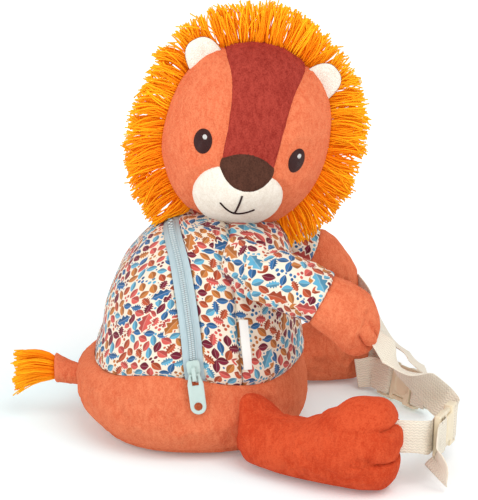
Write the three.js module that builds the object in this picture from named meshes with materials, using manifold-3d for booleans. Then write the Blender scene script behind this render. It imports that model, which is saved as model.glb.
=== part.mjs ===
// A sitting plush lion whose hollow body is a child's bag, worn by two webbing loops from hand to foot.
// Millimetres. The lion's belly faces -Y, its right side is -X, +Z is up, and it sits on z = 0.
import * as THREE from "three";
import Module from "manifold-3d";
import { ParametricGeometry } from "three/addons/geometries/ParametricGeometry.js";
import { mergeVertices } from "three/addons/utils/BufferGeometryUtils.js";

const wasm = await Module();
wasm.setup();

// Clearances and cloth
const GAP = 0.4;
const CLOTH = 2.5;
const PANEL = 2.6;
const STITCHED = 0.9;

// Bag body: half-width, reach to the front and reach to the back at each height
const BODY_SIDES = 28;
const BODY_ROUNDING = 2.3;
const BODY_TOP = 176;
const BOTTOM_SEAM = 6;
const BASE_SEAM = 61;
const BODY_ROWS = [
  { z: 0, side: 68, front: 74, back: 60 },
  { z: 4, side: 80, front: 81, back: 70 },
  { z: 14, side: 91, front: 87, back: 77 },
  { z: 31, side: 97, front: 91, back: 87.5 },
  { z: 48, side: 95, front: 91, back: 90 },
  { z: 56, side: 91, front: 89, back: 82 },
  { z: 66, side: 89, front: 88, back: 74 },
  { z: 80, side: 88, front: 87, back: 70 },
  { z: 104, side: 85, front: 85, back: 65 },
  { z: 131, side: 77, front: 81, back: 54 },
  { z: 150, side: 66, front: 76, back: 39 },
  { z: 163, side: 53, front: 69, back: 25 },
  { z: 172, side: 36, front: 56, back: 7 },
  { z: BODY_TOP, side: 0, front: 25, back: -25 },
];

// Side seam of the printed cloth, a slanting plane between these two ends
const SIDE_SEAM = { lowY: -42, lowZ: BASE_SEAM, highY: -30, highZ: BODY_TOP };

// Zip down the right side: distance back from the body's middle at each height
const ZIP_ROWS = [
  { z: 62.5, y: -6 },
  { z: 78, y: -4 },
  { z: 96, y: -2.5 },
  { z: 115, y: 0 },
  { z: 136, y: 3.5 },
  { z: 152, y: 7.5 },
  { z: 165, y: 13 },
];
const ZIP_STEPS = 12;
const TAPE_HALF = 7;
const COIL_HALF = 1.8;
const TAPE_THICK = 1.2;
const SLIDER_HEIGHT = 71;
const SLIDER = { thick: 2.2, bailWide: 3, bailThick: 1.4, bailLow: -4, bailHigh: 6.2, bailRise: 4.6 };
// Right half of the slider's shield outline, from its foot to its head; the pull's bar is at the height 0
const SLIDER_OUTLINE = [
  [2, -5.5],
  [3.4, -4],
  [5, 3],
  [5, 8.7],
  [4, 10.5],
];
const PULL = { wide: 12, long: 30, thick: 1.8, bar: 1.8, windowWide: 5, windowLong: 7, hole: 3.2, lean: 2.5 };
const LABEL = { long: 38, wide: 8, thick: 1, low: 72, lift: 12 };

// Head: reach of its outline from the middle at each angle from the top, before it is turned
const HEAD_CENTRE = new THREE.Vector3(-10, -43, 235);
const HEAD_YAW = -85;
const HEAD_NOD = 4;
const HEAD_ROLL = 13;
const HEAD_FRONT = 52;
const HEAD_BACK = 46;
const HEAD_SIDES = 22;
const HEAD_RINGS = 12;
const MUZZLE_BUMP = { out: 13, z: -33, wide: 26, high: 21 };
const HEAD_ROWS = [
  { angle: 0, reach: 73 },
  { angle: 30, reach: 71 },
  { angle: 52, reach: 68 },
  { angle: 72, reach: 63.5 },
  { angle: 90, reach: 62 },
  { angle: 120, reach: 64.5 },
  { angle: 150, reach: 68.5 },
  { angle: 180, reach: 67.5 },
];

// Sewn-in face panels: half-width at each height of the unturned head
const FOREHEAD_ROWS = [
  { z: -3.6, half: 19.5 },
  { z: 20, half: 22 },
  { z: 42, half: 26 },
  { z: 58, half: 31 },
  { z: 82, half: 36 },
];
const NOSE_ROWS = [
  { z: -29, half: 5 },
  { z: -24, half: 13 },
  { z: -17, half: 19 },
  { z: -9, half: 20.5 },
  { z: -4.4, half: 18 },
];
const MUZZLE_ROWS = [
  { z: -66, half: 12 },
  { z: -60, half: 22 },
  { z: -48, half: 31.5 },
  { z: -35, half: 34 },
  { z: -23, half: 31 },
  { z: -15, half: 23.5 },
];
const EYE = { x: 37, z: 0, wide: 6.5, high: 9.5, points: 6 };
const EAR = { angle: 40, wide: 14, high: 16.5, thick: 3.5, forward: 7 };

// Yarn fringe: how far it stands out and is swept back at each angle around the head seam
const MANE_ROWS = [
  { angle: -150, reach: 32, swept: 9 },
  { angle: -115, reach: 31, swept: 9 },
  { angle: -70, reach: 27, swept: 8 },
  { angle: -30, reach: 30, swept: 6 },
  { angle: 0, reach: 31, swept: 4 },
  { angle: 30, reach: 29, swept: 3 },
  { angle: 60, reach: 31, swept: 2 },
  { angle: 100, reach: 30, swept: 2 },
  { angle: 132, reach: 28, swept: 2 },
];
const MANE_STEPS = 20;
const MANE_ROOT = 5;
const MANE_SPREAD = 8;

// Arms: middle line of each, and half-sizes along it; the cuff parts sleeve from hand
const LIMB_SIDES = 12;
const CUFF = 0.635;
const ARM_LINES = {
  right: [
    { x: -60, y: -30, z: 152 },
    { x: -84, y: -56, z: 147 },
    { x: -93, y: -86, z: 137 },
    { x: -96, y: -106, z: 127 },
    { x: -98, y: -139, z: 109 },
  ],
  left: [
    { x: 60, y: -30, z: 150 },
    { x: 82, y: -56, z: 140 },
    { x: 90, y: -84, z: 122 },
    { x: 93, y: -104, z: 111 },
    { x: 95, y: -139, z: 95 },
  ],
};
const SLEEVE_ROWS = [
  { along: 0, wide: 10, high: 19 },
  { along: 0.14, wide: 14, high: 20 },
  { along: 0.3, wide: 18, high: 20.5 },
  { along: 0.47, wide: 20, high: 20.5 },
  { along: CUFF, wide: 20.5, high: 20.5 },
];
const HAND_ROWS = [
  { along: CUFF + 0.003, wide: 18, high: 18.5 },
  { along: 0.68, wide: 20.3, high: 21, rise: 0 },
  { along: 0.79, wide: 20.8, high: 22, rise: -0.6 },
  { along: 0.9, wide: 18.5, high: 20, rise: -3 },
  { along: 0.965, wide: 12.5, high: 14, rise: -6 },
  { along: 1, wide: 5, high: 6, rise: -8 },
];

// Legs: line of each on the floor plan, and middle height and half-sizes along it
const LEG_LINES = {
  right: [
    { x: -68, y: -30, z: 0 },
    { x: -98, y: -58, z: 0 },
    { x: -121, y: -90, z: 0 },
    { x: -136, y: -122, z: 0 },
    { x: -145, y: -154, z: 0 },
  ],
  left: [
    { x: 64, y: -28, z: 0 },
    { x: 80, y: -58, z: 0 },
    { x: 88, y: -90, z: 0 },
    { x: 93, y: -118, z: 0 },
    { x: 99, y: -147, z: 0 },
  ],
};
const LEG_ROWS = [
  { along: 0, rise: 27, wide: 20, high: 23 },
  { along: 0.2, rise: 27, wide: 23, high: 25.5 },
  { along: 0.42, rise: 28, wide: 24, high: 27 },
  { along: 0.58, rise: 30, wide: 25, high: 29.4 },
  { along: 0.7, rise: 34.5, wide: 26, high: 34 },
  { along: 0.82, rise: 36.5, wide: 27, high: 36 },
  { along: 0.92, rise: 36.5, wide: 25, high: 34.5 },
  { along: 0.975, rise: 36.5, wide: 17, high: 26 },
  { along: 1, rise: 36.5, wide: 7, high: 13 },
];

// Tail, then its yarn tassel: half-sizes and height at each distance back
const TAIL_ROWS = [
  { y: 82, z: 36.5, wide: 8, high: 7.5 },
  { y: 96, z: 40.5, wide: 9, high: 9.5 },
  { y: 105, z: 43.2, wide: 10, high: 11.2 },
  { y: 108, z: 44, wide: 10.2, high: 11.6 },
];
const TASSEL_ROWS = [
  { y: 108.5, z: 44, wide: 9, high: 10.5 },
  { y: 116, z: 44.5, wide: 11, high: 13.5 },
  { y: 132, z: 44, wide: 12.5, high: 16.5 },
  { y: 142, z: 42.5, wide: 10, high: 14.5 },
];
const TAIL_SIDES = 12;

// Webbing and side-release buckles; each buckle lies along its strap from shoulder end to foot end
const WEB = { wide: 25, thick: 1.6 };
const STRAP_STEPS = 2;
const BUCKLE = { wide: 31, bodyThick: 7, plugThick: 5, bevel: 0.8 };
const BAR = { wide: 3.6, thick: 3.4, slot: 4.2, long: 26.4 };
const SOCKET = { back: -24, front: 4, tongue: 10.4, notch: -10, dish: 9.5, dishDeep: 1.6 };
const PLUG = { back: 4.5, front: 24, armIn: 10.9, armOut: 14.6, armEnd: -9.4 };
const BUCKLE_POSES = {
  right: { x: -104, y: -190, z: 33, alongX: -0.93, alongY: 0.34, alongZ: 0.1, tiltY: 0, tiltZ: 1, load: 1 },
  left: { x: 38, y: -170, z: 17, alongX: 0.82, alongY: 0.57, alongZ: 0, tiltY: 0.25, tiltZ: -0.97, load: -1 },
};
const FOOT_STRAP_ROWS = {
  right: [
    { x: -138, y: -172, z: 40, acrossX: 0, acrossY: 0, acrossZ: 1 },
    { x: -142, y: -160, z: 42, acrossX: 0, acrossY: 0, acrossZ: 1 },
    { x: -143, y: -148, z: 43, acrossX: 0, acrossY: 0, acrossZ: 1 },
  ],
  left: [
    { x: 80, y: -157, z: 18, acrossX: 0, acrossY: 0, acrossZ: -1 },
    { x: 92, y: -157, z: 19, acrossX: 0, acrossY: 0, acrossZ: -1 },
    { x: 98.5, y: -152, z: 20, acrossX: 0, acrossY: 0, acrossZ: -1 },
    { x: 98.5, y: -146, z: 20, acrossX: 0, acrossY: 0, acrossZ: -1 },
    { x: 98, y: -140, z: 20, acrossX: 0, acrossY: 0, acrossZ: -1 },
  ],
};
const SHOULDER_STRAP_ROWS = {
  right: [
    { x: -68, y: -201, z: 31, acrossX: 0, acrossY: 0.2, acrossZ: -1 },
    { x: -61, y: -193, z: 38, acrossX: 0, acrossY: 0.6, acrossZ: -0.8 },
    { x: -66, y: -184, z: 49, acrossX: 0.1, acrossY: 0.9, acrossZ: -0.5 },
    { x: -78, y: -173, z: 63, acrossX: 0.4, acrossY: 0.8, acrossZ: -0.5 },
    { x: -92, y: -158, z: 76, acrossX: 1, acrossY: 0.1, acrossZ: -0.2 },
    { x: -94, y: -148, z: 90, acrossX: 0.8, acrossY: -0.6, acrossZ: 0.1 },
    { x: -95, y: -136, z: 103, acrossX: 0.8, acrossY: -0.5, acrossZ: -0.3 },
  ],
  left: [
    { x: 7, y: -190, z: 19, acrossX: 0, acrossY: 0, acrossZ: 1 },
    { x: 0, y: -189, z: 31, acrossX: 0.4, acrossY: 0.3, acrossZ: 0.8 },
    { x: 10, y: -180, z: 44, acrossX: 0.2, acrossY: 0.7, acrossZ: 0.6 },
    { x: 30, y: -168, z: 50, acrossX: 0.1, acrossY: 0.8, acrossZ: 0.5 },
    { x: 58, y: -157, z: 56, acrossX: -0.2, acrossY: 0.6, acrossZ: 0.7 },
    { x: 82, y: -148, z: 75, acrossX: -0.6, acrossY: 0.1, acrossZ: 0.7 },
    { x: 93, y: -136, z: 88, acrossX: -0.6, acrossY: 0, acrossZ: 0.7 },
  ],
};
const FREE_END_ROWS = {
  right: [
    { x: -138, y: -181, z: 10, acrossX: -0.95, acrossY: -0.3, acrossZ: 0 },
    { x: -142, y: -184, z: 20, acrossX: -1, acrossY: 0.2, acrossZ: 0.2 },
    { x: -140, y: -182, z: 31, acrossX: -0.6, acrossY: 0.2, acrossZ: 0.8 },
  ],
  left: [
    { x: 66, y: -136, z: 15, acrossX: 0, acrossY: 0, acrossZ: -1 },
    { x: 64, y: -142, z: 16, acrossX: 0, acrossY: 0, acrossZ: -1 },
  ],
};

// Materials
const CORAL = new THREE.MeshStandardMaterial({ color: 0xe2714a, roughness: 0.95, metalness: 0 });
const DARK_RED = new THREE.MeshStandardMaterial({ color: 0x96382f, roughness: 0.95, metalness: 0 });
const CREAM = new THREE.MeshStandardMaterial({ color: 0xece0d0, roughness: 0.95, metalness: 0 });
const BROWN = new THREE.MeshStandardMaterial({ color: 0x4b352c, roughness: 0.9, metalness: 0 });
const PRINT = new THREE.MeshStandardMaterial({ color: 0xd9c4ae, roughness: 0.85, metalness: 0 });
const YARN = new THREE.MeshStandardMaterial({ color: 0xf59a17, roughness: 0.7, metalness: 0 });
const TAPE = new THREE.MeshStandardMaterial({ color: 0xbed7e1, roughness: 0.8, metalness: 0 });
const ENAMEL = new THREE.MeshStandardMaterial({ color: 0xd7ebe6, roughness: 0.4, metalness: 0 });
const WEBBING = new THREE.MeshStandardMaterial({ color: 0xeadfcb, roughness: 0.85, metalness: 0 });
const BUCKLE_PLASTIC = new THREE.MeshStandardMaterial({ color: 0xe3d6bd, roughness: 0.45, metalness: 0 });
const LABEL_CLOTH = new THREE.MeshStandardMaterial({ color: 0xf4f2ec, roughness: 0.7, metalness: 0 });

const radians = THREE.MathUtils.degToRad;
const vector = (row) => new THREE.Vector3(row.x, row.y, row.z);
const across = (row) => new THREE.Vector3(row.acrossX, row.acrossY, row.acrossZ).normalize();

// A table's row at a value of its leading column, worked out between its neighbours.
function rowAt(rows, column, value) {
  let upper = 1;
  while (upper < rows.length - 1 && rows[upper][column] < value) {
    upper += 1;
  }
  const low = rows[upper - 1];
  const high = rows[upper];
  const part = THREE.MathUtils.clamp((value - low[column]) / (high[column] - low[column]), 0, 1);
  const between = ([name, from]) => [name, THREE.MathUtils.lerp(from, high[name], part)];
  return Object.fromEntries(Object.entries(low).map(between));
}

// A closed geometry as a solid that can be joined and cut.
function solidOf(geometry) {
  const bare = new THREE.BufferGeometry();
  bare.setAttribute("position", geometry.getAttribute("position"));
  bare.setIndex(geometry.getIndex());
  const merged = mergeVertices(bare, 1e-3);
  const corners = merged.getIndex().array;
  const kept = [];
  for (let k = 0; k < corners.length; k += 3) {
    const [a, b, c] = corners.subarray(k, k + 3);
    if (a !== b && b !== c && c !== a) {
      kept.push(a, b, c);
    }
  }
  const points = new Float32Array(merged.getAttribute("position").array);
  const mesh = new wasm.Mesh({ numProp: 3, vertProperties: points, triVerts: new Uint32Array(kept) });
  return new wasm.Manifold(mesh);
}

// A solid as a geometry again.
function geometryOf(solid) {
  const mesh = solid.getMesh();
  const geometry = new THREE.BufferGeometry();
  geometry.setAttribute("position", new THREE.Float32BufferAttribute(mesh.vertProperties, 3));
  geometry.setIndex(Array.from(mesh.triVerts));
  geometry.computeVertexNormals();
  return geometry;
}

// A box between two corners.
function block(x0, y0, z0, x1, y1, z1) {
  const box = new THREE.BoxGeometry(x1 - x0, y1 - y0, z1 - z0);
  box.translate((x0 + x1) / 2, (y0 + y1) / 2, (z0 + z1) / 2);
  return solidOf(box);
}

// Rings of points, each closed at both ends by the middle of its first and last ring.
function loft(rings, middles) {
  const sides = rings[0].length;
  const stacks = rings.length + 1;
  const surface = (u, v, target) => {
    const ring = Math.round(v * stacks) - 1;
    if (ring < 0) {
      target.copy(middles[0]);
    } else if (ring === rings.length) {
      target.copy(middles[1]);
    } else {
      target.copy(rings[ring][Math.round(u * sides) % sides]);
    }
  };
  return new ParametricGeometry(surface, sides, stacks);
}

// The bag's outer form, drawn in by an inset.
function bodyForm(inset) {
  const squeeze = (BODY_TOP - 2 * inset) / BODY_TOP;
  const rings = BODY_ROWS.slice(0, -1).map((row) => {
    const deep = (row.front + row.back) / 2 - inset;
    const middle = (row.back - row.front) / 2;
    const points = [];
    for (let k = 0; k < BODY_SIDES; k += 1) {
      const turn = (2 * Math.PI * k) / BODY_SIDES;
      const shaped = (part) => Math.sign(part) * Math.abs(part) ** (2 / BODY_ROUNDING);
      const x = (row.side - inset) * shaped(Math.cos(turn));
      const y = middle + deep * shaped(Math.sin(turn));
      points.push(new THREE.Vector3(x, y, inset + row.z * squeeze));
    }
    return points;
  });
  const low = new THREE.Vector3(0, 0, inset);
  const crown = BODY_ROWS.at(-1);
  const high = new THREE.Vector3(0, -crown.front, BODY_TOP - inset);
  return solidOf(loft(rings, [low, high]));
}

// Point, outward direction and run of the body's right side at a height and a distance back.
function rightSide(y, z) {
  const point = (atY, atZ) => {
    const row = rowAt(BODY_ROWS, "z", atZ);
    const deep = (row.front + row.back) / 2;
    const off = Math.min(Math.abs(atY - (row.back - row.front) / 2) / deep, 1);
    return new THREE.Vector3(-row.side * (1 - off ** BODY_ROUNDING) ** (1 / BODY_ROUNDING), atY, atZ);
  };
  const backward = point(y + 1, z).sub(point(y - 1, z));
  const upward = point(y, z + 1).sub(point(y, z - 1));
  return { point: point(y, z), outward: upward.cross(backward).normalize() };
}

const bodyOuter = bodyForm(0);
const bodyShell = bodyOuter.subtract(bodyForm(CLOTH));
const bodyClear = bodyForm(-GAP).add(bodyForm(CLOTH * 2));
const FAR = 400;

// The slanting plane of the side seam, moved forward or back, as the space in front of it.
function seamFront(shift) {
  const shape = new THREE.Shape([
    new THREE.Vector2(-FAR, SIDE_SEAM.lowZ - 40),
    new THREE.Vector2(seamY(SIDE_SEAM.lowZ - 40) + shift, SIDE_SEAM.lowZ - 40),
    new THREE.Vector2(seamY(SIDE_SEAM.highZ + 40) + shift, SIDE_SEAM.highZ + 40),
    new THREE.Vector2(-FAR, SIDE_SEAM.highZ + 40),
  ]);
  const prism = new THREE.ExtrudeGeometry(shape, { depth: 2 * FAR, bevelEnabled: false });
  prism.rotateX(Math.PI / 2);
  prism.rotateZ(Math.PI / 2);
  prism.translate(-FAR, 0, 0);
  return solidOf(prism);
}

// Distance forward or back of the side seam at a height.
function seamY(z) {
  const part = (z - SIDE_SEAM.lowZ) / (SIDE_SEAM.highZ - SIDE_SEAM.lowZ);
  return THREE.MathUtils.lerp(SIDE_SEAM.lowY, SIDE_SEAM.highY, part);
}

// A flat band swept along points: each has its width direction and outward direction.
function band(stations, low, high, inner, outer) {
  const rings = stations.map(({ point, sideways, outward }) => {
    const corner = (off, rise) => point.clone().addScaledVector(sideways, off).addScaledVector(outward, rise);
    return [corner(low, inner), corner(high, inner), corner(high, outer), corner(low, outer)];
  });
  const middle = (ring) => ring[0].clone().lerp(ring[2], 0.5);
  return solidOf(loft(rings, [middle(rings[0]), middle(rings.at(-1))]));
}

// Stations up the zip between two heights.
function zipStations(low, high, steps) {
  const stations = [];
  for (let k = 0; k <= steps; k += 1) {
    const z = THREE.MathUtils.lerp(low, high, k / steps);
    const { point, outward } = rightSide(rowAt(ZIP_ROWS, "z", z).y, z);
    stations.push({ point, outward });
  }
  return stations.map((station, k) => {
    const ahead = stations[Math.min(k + 1, steps)].point;
    const upward = ahead.clone().sub(stations[Math.max(k - 1, 0)].point).normalize();
    const sideways = station.outward.clone().cross(upward).normalize();
    return { ...station, upward, sideways, outward: upward.clone().cross(sideways).normalize() };
  });
}

// Bag wall: bottom, puffed base and the two halves of the printed cloth
const zipLow = ZIP_ROWS[0].z;
const zipHigh = ZIP_ROWS.at(-1).z;
const zipRun = zipStations(zipLow, zipHigh, ZIP_STEPS);
const slotHalf = TAPE_HALF + 2 * GAP;
const slotReach = 9;
const slotRun = zipStations(zipLow - GAP, zipHigh + GAP, ZIP_STEPS);
const slot = band(slotRun, -slotHalf, slotHalf, -slotReach, slotReach);
const bottomPanel = bodyShell.intersect(block(-FAR, -FAR, -1, FAR, FAR, BOTTOM_SEAM));
const baseSide = bodyShell.intersect(block(-FAR, -FAR, BOTTOM_SEAM + GAP, FAR, FAR, BASE_SEAM - GAP / 2));
const shirt = bodyShell.intersect(block(-FAR, -FAR, BASE_SEAM + GAP / 2, FAR, FAR, FAR));
const shirtFront = shirt.intersect(seamFront(-GAP / 2));
const shirtBack = shirt.subtract(seamFront(GAP / 2)).subtract(slot);

// Zip tapes and closed coil
const tapeFront = band(zipRun, -TAPE_HALF, -COIL_HALF - GAP, -TAPE_THICK - GAP, -GAP);
const tapeBack = band(zipRun, COIL_HALF + GAP, TAPE_HALF, -TAPE_THICK - GAP, -GAP);
const zipCoil = band(zipRun, -COIL_HALF, COIL_HALF, -TAPE_THICK, TAPE_THICK / 2);

// A frame at a point whose X and Y run along the two directions given.
function framed(origin, xAxis, yAxis) {
  const x = xAxis.clone().normalize();
  const z = x.clone().cross(yAxis).normalize();
  const y = z.clone().cross(x);
  return new THREE.Matrix4().makeBasis(x, y, z).setPosition(origin);
}

const sliderSeat = zipStations(SLIDER_HEIGHT, SLIDER_HEIGHT + 4, 1)[0];
const sliderFloor = TAPE_THICK / 2 + 1.5 * GAP;
const sliderFrame = framed(
  sliderSeat.point.clone().addScaledVector(sliderSeat.outward, sliderFloor),
  sliderSeat.sideways.clone().negate(),
  sliderSeat.upward,
);

// Slider plate with the bail standing over it; its Y runs up the zip
function sliderSolid() {
  const { thick, bailWide, bailThick, bailLow, bailHigh, bailRise } = SLIDER;
  const right = SLIDER_OUTLINE.map(([x, y]) => new THREE.Vector2(x, y));
  const left = SLIDER_OUTLINE.map(([x, y]) => new THREE.Vector2(-x, y)).reverse();
  const plate = new THREE.Shape([...right, ...left]);
  const form = new THREE.ExtrudeGeometry(plate, { depth: thick, bevelEnabled: false });
  const top = thick + bailRise;
  const arch = block(-bailWide / 2, bailLow, thick / 2, bailWide / 2, bailHigh, top);
  const under = block(-bailWide, bailLow + bailThick, thick, bailWide, bailHigh - bailThick, top - bailThick);
  return solidOf(form).add(arch.subtract(under));
}

// Pull tab hanging from a cross bar under the bail; the bar is its origin
function pullGeometry() {
  const { wide, long, thick, bar, windowWide, windowLong, hole } = PULL;
  const shape = new THREE.Shape();
  shape.moveTo(-wide / 2 + 2, bar / 2);
  shape.lineTo(wide / 2 - 2, bar / 2);
  shape.lineTo(wide / 2, -windowLong);
  shape.lineTo(wide / 2, -long + wide / 2);
  shape.absarc(0, -long + wide / 2, wide / 2, 0, -Math.PI, true);
  shape.lineTo(-wide / 2, -windowLong);
  shape.closePath();
  const gate = new THREE.Path();
  gate.moveTo(-windowWide / 2, -bar / 2);
  gate.lineTo(-windowWide / 2, -bar / 2 - windowLong);
  gate.lineTo(windowWide / 2, -bar / 2 - windowLong);
  gate.lineTo(windowWide / 2, -bar / 2);
  gate.closePath();
  const eye = new THREE.Path();
  eye.absarc(0, -long + wide / 2, hole, 0, 2 * Math.PI, false);
  shape.holes.push(gate, eye);
  const tab = new THREE.ExtrudeGeometry(shape, { depth: thick, bevelEnabled: false, curveSegments: 7 });
  tab.translate(0, 0, -thick / 2);
  tab.rotateX(-radians(PULL.lean));
  return tab;
}
const pullRise = SLIDER.thick + (SLIDER.bailRise - SLIDER.bailThick) / 2;
const pullFrame = sliderFrame.clone().multiply(new THREE.Matrix4().makeTranslation(0, 0, pullRise));

// Bare label standing a little off the cloth just in front of the side seam
function labelSolid() {
  const stations = [];
  const lift = radians(LABEL.lift);
  for (let k = 0; k <= 4; k += 1) {
    const z = LABEL.low + LABEL.long * (1 - k / 4);
    const { point, outward } = rightSide(seamY(z) - 1, z);
    const forward = new THREE.Vector3(0, -1, 0).addScaledVector(outward, outward.y).normalize();
    const sideways = forward.multiplyScalar(Math.cos(lift)).addScaledVector(outward, Math.sin(lift));
    const raised = sideways.clone().cross(new THREE.Vector3(0, 0, 1)).normalize();
    stations.push({ point, sideways, outward: raised });
  }
  return band(stations, 0, LABEL.wide, GAP, GAP + LABEL.thick).subtract(bodyClear);
}

// The head before it is turned: it faces -Y, and its seam lies in the plane y = 0.
function headForm(inset) {
  const rings = [];
  for (let ring = 1; ring < HEAD_RINGS; ring += 1) {
    const lean = (Math.PI * ring) / HEAD_RINGS;
    const points = [];
    for (let k = 0; k < HEAD_SIDES; k += 1) {
      const turn = (2 * Math.PI * k) / HEAD_SIDES;
      const folded = 180 - Math.abs(THREE.MathUtils.radToDeg(turn) - 180);
      const reach = (rowAt(HEAD_ROWS, "angle", folded).reach - inset) * Math.sin(lean);
      const x = reach * Math.sin(turn);
      const z = reach * Math.cos(turn);
      points.push(new THREE.Vector3(x, headDepth(x, z, lean, inset), z));
    }
    rings.push(points);
  }
  const ends = [0, Math.PI].map((lean) => new THREE.Vector3(0, headDepth(0, 0, lean, inset), 0));
  return solidOf(loft(rings, ends));
}

// Distance of the head's skin in front of or behind the seam.
function headDepth(x, z, lean, inset) {
  const deep = Math.cos(lean) > 0 ? HEAD_FRONT : HEAD_BACK;
  const { out, z: height, wide, high } = MUZZLE_BUMP;
  const bump = out * Math.exp(-((x / wide) ** 2) - ((z - height) / high) ** 2) * Math.max(Math.cos(lean), 0);
  return -(deep - inset) * Math.cos(lean) - bump;
}

// A straight-sided block in front of the head seam with a panel's outline.
function panelBlock(rows, grow) {
  const tall = (row, k) => row.z + (k === 0 ? -grow : 0) + (k === rows.length - 1 ? grow : 0);
  const right = rows.map((row, k) => new THREE.Vector2(row.half + grow, tall(row, k)));
  const left = right.map((point) => new THREE.Vector2(-point.x, point.y)).reverse();
  const shape = new THREE.Shape([...right, ...left]);
  const prism = new THREE.ExtrudeGeometry(shape, { depth: 2 * HEAD_FRONT, bevelEnabled: false });
  prism.rotateX(Math.PI / 2);
  prism.translate(0, grow, 0);
  return solidOf(prism);
}

// An oval block for a stitched eye.
function eyeBlock(side) {
  const shape = new THREE.Shape();
  shape.absellipse(side * EYE.x, EYE.z, EYE.wide, EYE.high, 0, 2 * Math.PI);
  const flat = { depth: 2 * HEAD_FRONT, bevelEnabled: false, curveSegments: EYE.points };
  const prism = new THREE.ExtrudeGeometry(shape, flat);
  prism.rotateX(Math.PI / 2);
  return solidOf(prism);
}

// The flattened round an ear is cut from, grown where another piece is to clear it.
function earRound(side, grow) {
  const round = new THREE.SphereGeometry(1, 12, 8);
  round.scale(EAR.wide + grow, EAR.thick + grow, EAR.high + grow);
  const reach = rowAt(HEAD_ROWS, "angle", EAR.angle).reach;
  const turn = side * radians(EAR.angle);
  round.rotateY(turn);
  round.translate(reach * Math.sin(turn), -EAR.forward, reach * Math.cos(turn));
  return solidOf(round);
}

// One ear, its front and back halves parted, sitting on the head.
function earSolids(side, headClear) {
  const ear = earRound(side, 0).subtract(headClear);
  const front = block(-FAR, -FAR, -FAR, FAR, -EAR.forward - GAP / 2, FAR);
  const back = block(-FAR, -EAR.forward + GAP / 2, -FAR, FAR, FAR, FAR);
  return { front: ear.intersect(front), back: ear.intersect(back) };
}

// Fringe of yarn around the head seam, behind the ears and open under the chin
function maneSolid(headClear) {
  const rings = [];
  const middles = [];
  const first = MANE_ROWS[0].angle;
  const last = MANE_ROWS.at(-1).angle;
  for (let k = 0; k <= MANE_STEPS; k += 1) {
    const angle = THREE.MathUtils.lerp(first, last, k / MANE_STEPS);
    const { reach, swept } = rowAt(MANE_ROWS, "angle", angle);
    const root = rowAt(HEAD_ROWS, "angle", Math.abs(angle)).reach;
    const turn = radians(angle);
    const at = (out, y) => new THREE.Vector3(out * Math.sin(turn), y, out * Math.cos(turn));
    rings.push([
      at(root - 3, -MANE_ROOT),
      at(root - 3, MANE_ROOT),
      at(root + reach * 0.55, swept * 0.6 + MANE_SPREAD),
      at(root + reach, swept + MANE_SPREAD * 0.6),
      at(root + reach, swept - MANE_SPREAD * 0.6),
      at(root + reach * 0.55, swept * 0.4 - MANE_SPREAD),
    ]);
    middles.push(at(root + reach * 0.5, swept * 0.5));
  }
  const fringe = solidOf(loft(rings, [middles[0], middles.at(-1)])).subtract(headClear);
  return fringe.subtract(earRound(-1, GAP)).subtract(earRound(1, GAP));
}

// Face panels lie in pockets of the head; everything that rests on the shirt is cut clear of it
const headTurn = new THREE.Matrix4()
  .makeRotationFromEuler(new THREE.Euler(radians(HEAD_NOD), radians(HEAD_ROLL), radians(HEAD_YAW), "ZYX"))
  .setPosition(HEAD_CENTRE);
const turned = (solid) => solidOf(geometryOf(solid).applyMatrix4(headTurn)).subtract(bodyClear);
const headOuter = headForm(0);
const headClear = headForm(-GAP);
const panelFloor = headForm(PANEL);
const pocketFloor = headForm(PANEL + GAP);
const noseBlock = panelBlock(NOSE_ROWS, 0);
const muzzleBlock = panelBlock(MUZZLE_ROWS, 0).subtract(panelBlock(NOSE_ROWS, GAP));
const foreheadBlock = panelBlock(FOREHEAD_ROWS, 0);
const pockets = panelBlock(NOSE_ROWS, GAP)
  .add(panelBlock(MUZZLE_ROWS, GAP))
  .add(panelBlock(FOREHEAD_ROWS, GAP))
  .subtract(pocketFloor);
const inlay = (form) => headOuter.intersect(form).subtract(panelFloor);
const stitchedSkin = headForm(-GAP - STITCHED).subtract(headClear);
const ears = { right: earSolids(-1, headClear), left: earSolids(1, headClear) };

// A stuffed limb of rounded sections along a line.
function limb(line, rows) {
  const curve = new THREE.CatmullRomCurve3(line.map(vector));
  const rings = [];
  const middles = [];
  for (const row of rows) {
    const middle = curve.getPointAt(row.along).add(new THREE.Vector3(0, 0, row.rise ?? 0));
    const ahead = curve.getTangentAt(row.along);
    const sideways = new THREE.Vector3(0, 0, 1).cross(ahead).normalize();
    const upward = ahead.clone().cross(sideways);
    const points = [];
    for (let k = 0; k < LIMB_SIDES; k += 1) {
      const turn = (2 * Math.PI * k) / LIMB_SIDES;
      const point = middle.clone().addScaledVector(sideways, row.wide * Math.cos(turn));
      points.push(point.addScaledVector(upward, row.high * Math.sin(turn)));
    }
    rings.push(points);
    middles.push(middle);
  }
  return solidOf(loft(rings, [middles[0], middles.at(-1)]));
}

// Tail or tassel: rounded sections straight back along +Y.
function tailSolid(rows) {
  const rings = rows.map((row) => {
    const points = [];
    for (let k = 0; k < TAIL_SIDES; k += 1) {
      const turn = (2 * Math.PI * k) / TAIL_SIDES;
      points.push(new THREE.Vector3(-row.wide * Math.cos(turn), row.y, row.z + row.high * Math.sin(turn)));
    }
    return points;
  });
  const middle = (row) => new THREE.Vector3(0, row.y, row.z);
  return solidOf(loft(rings, [middle(rows[0]), middle(rows.at(-1))])).subtract(bodyClear);
}

// Frame of a buckle: X along the strap from shoulder to foot, Y across it.
function buckleFrame(side) {
  const pose = BUCKLE_POSES[side];
  const along = new THREE.Vector3(pose.alongX, pose.alongY, pose.alongZ);
  return framed(vector(pose), along, new THREE.Vector3(0, pose.tiltY, pose.tiltZ));
}

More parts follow.
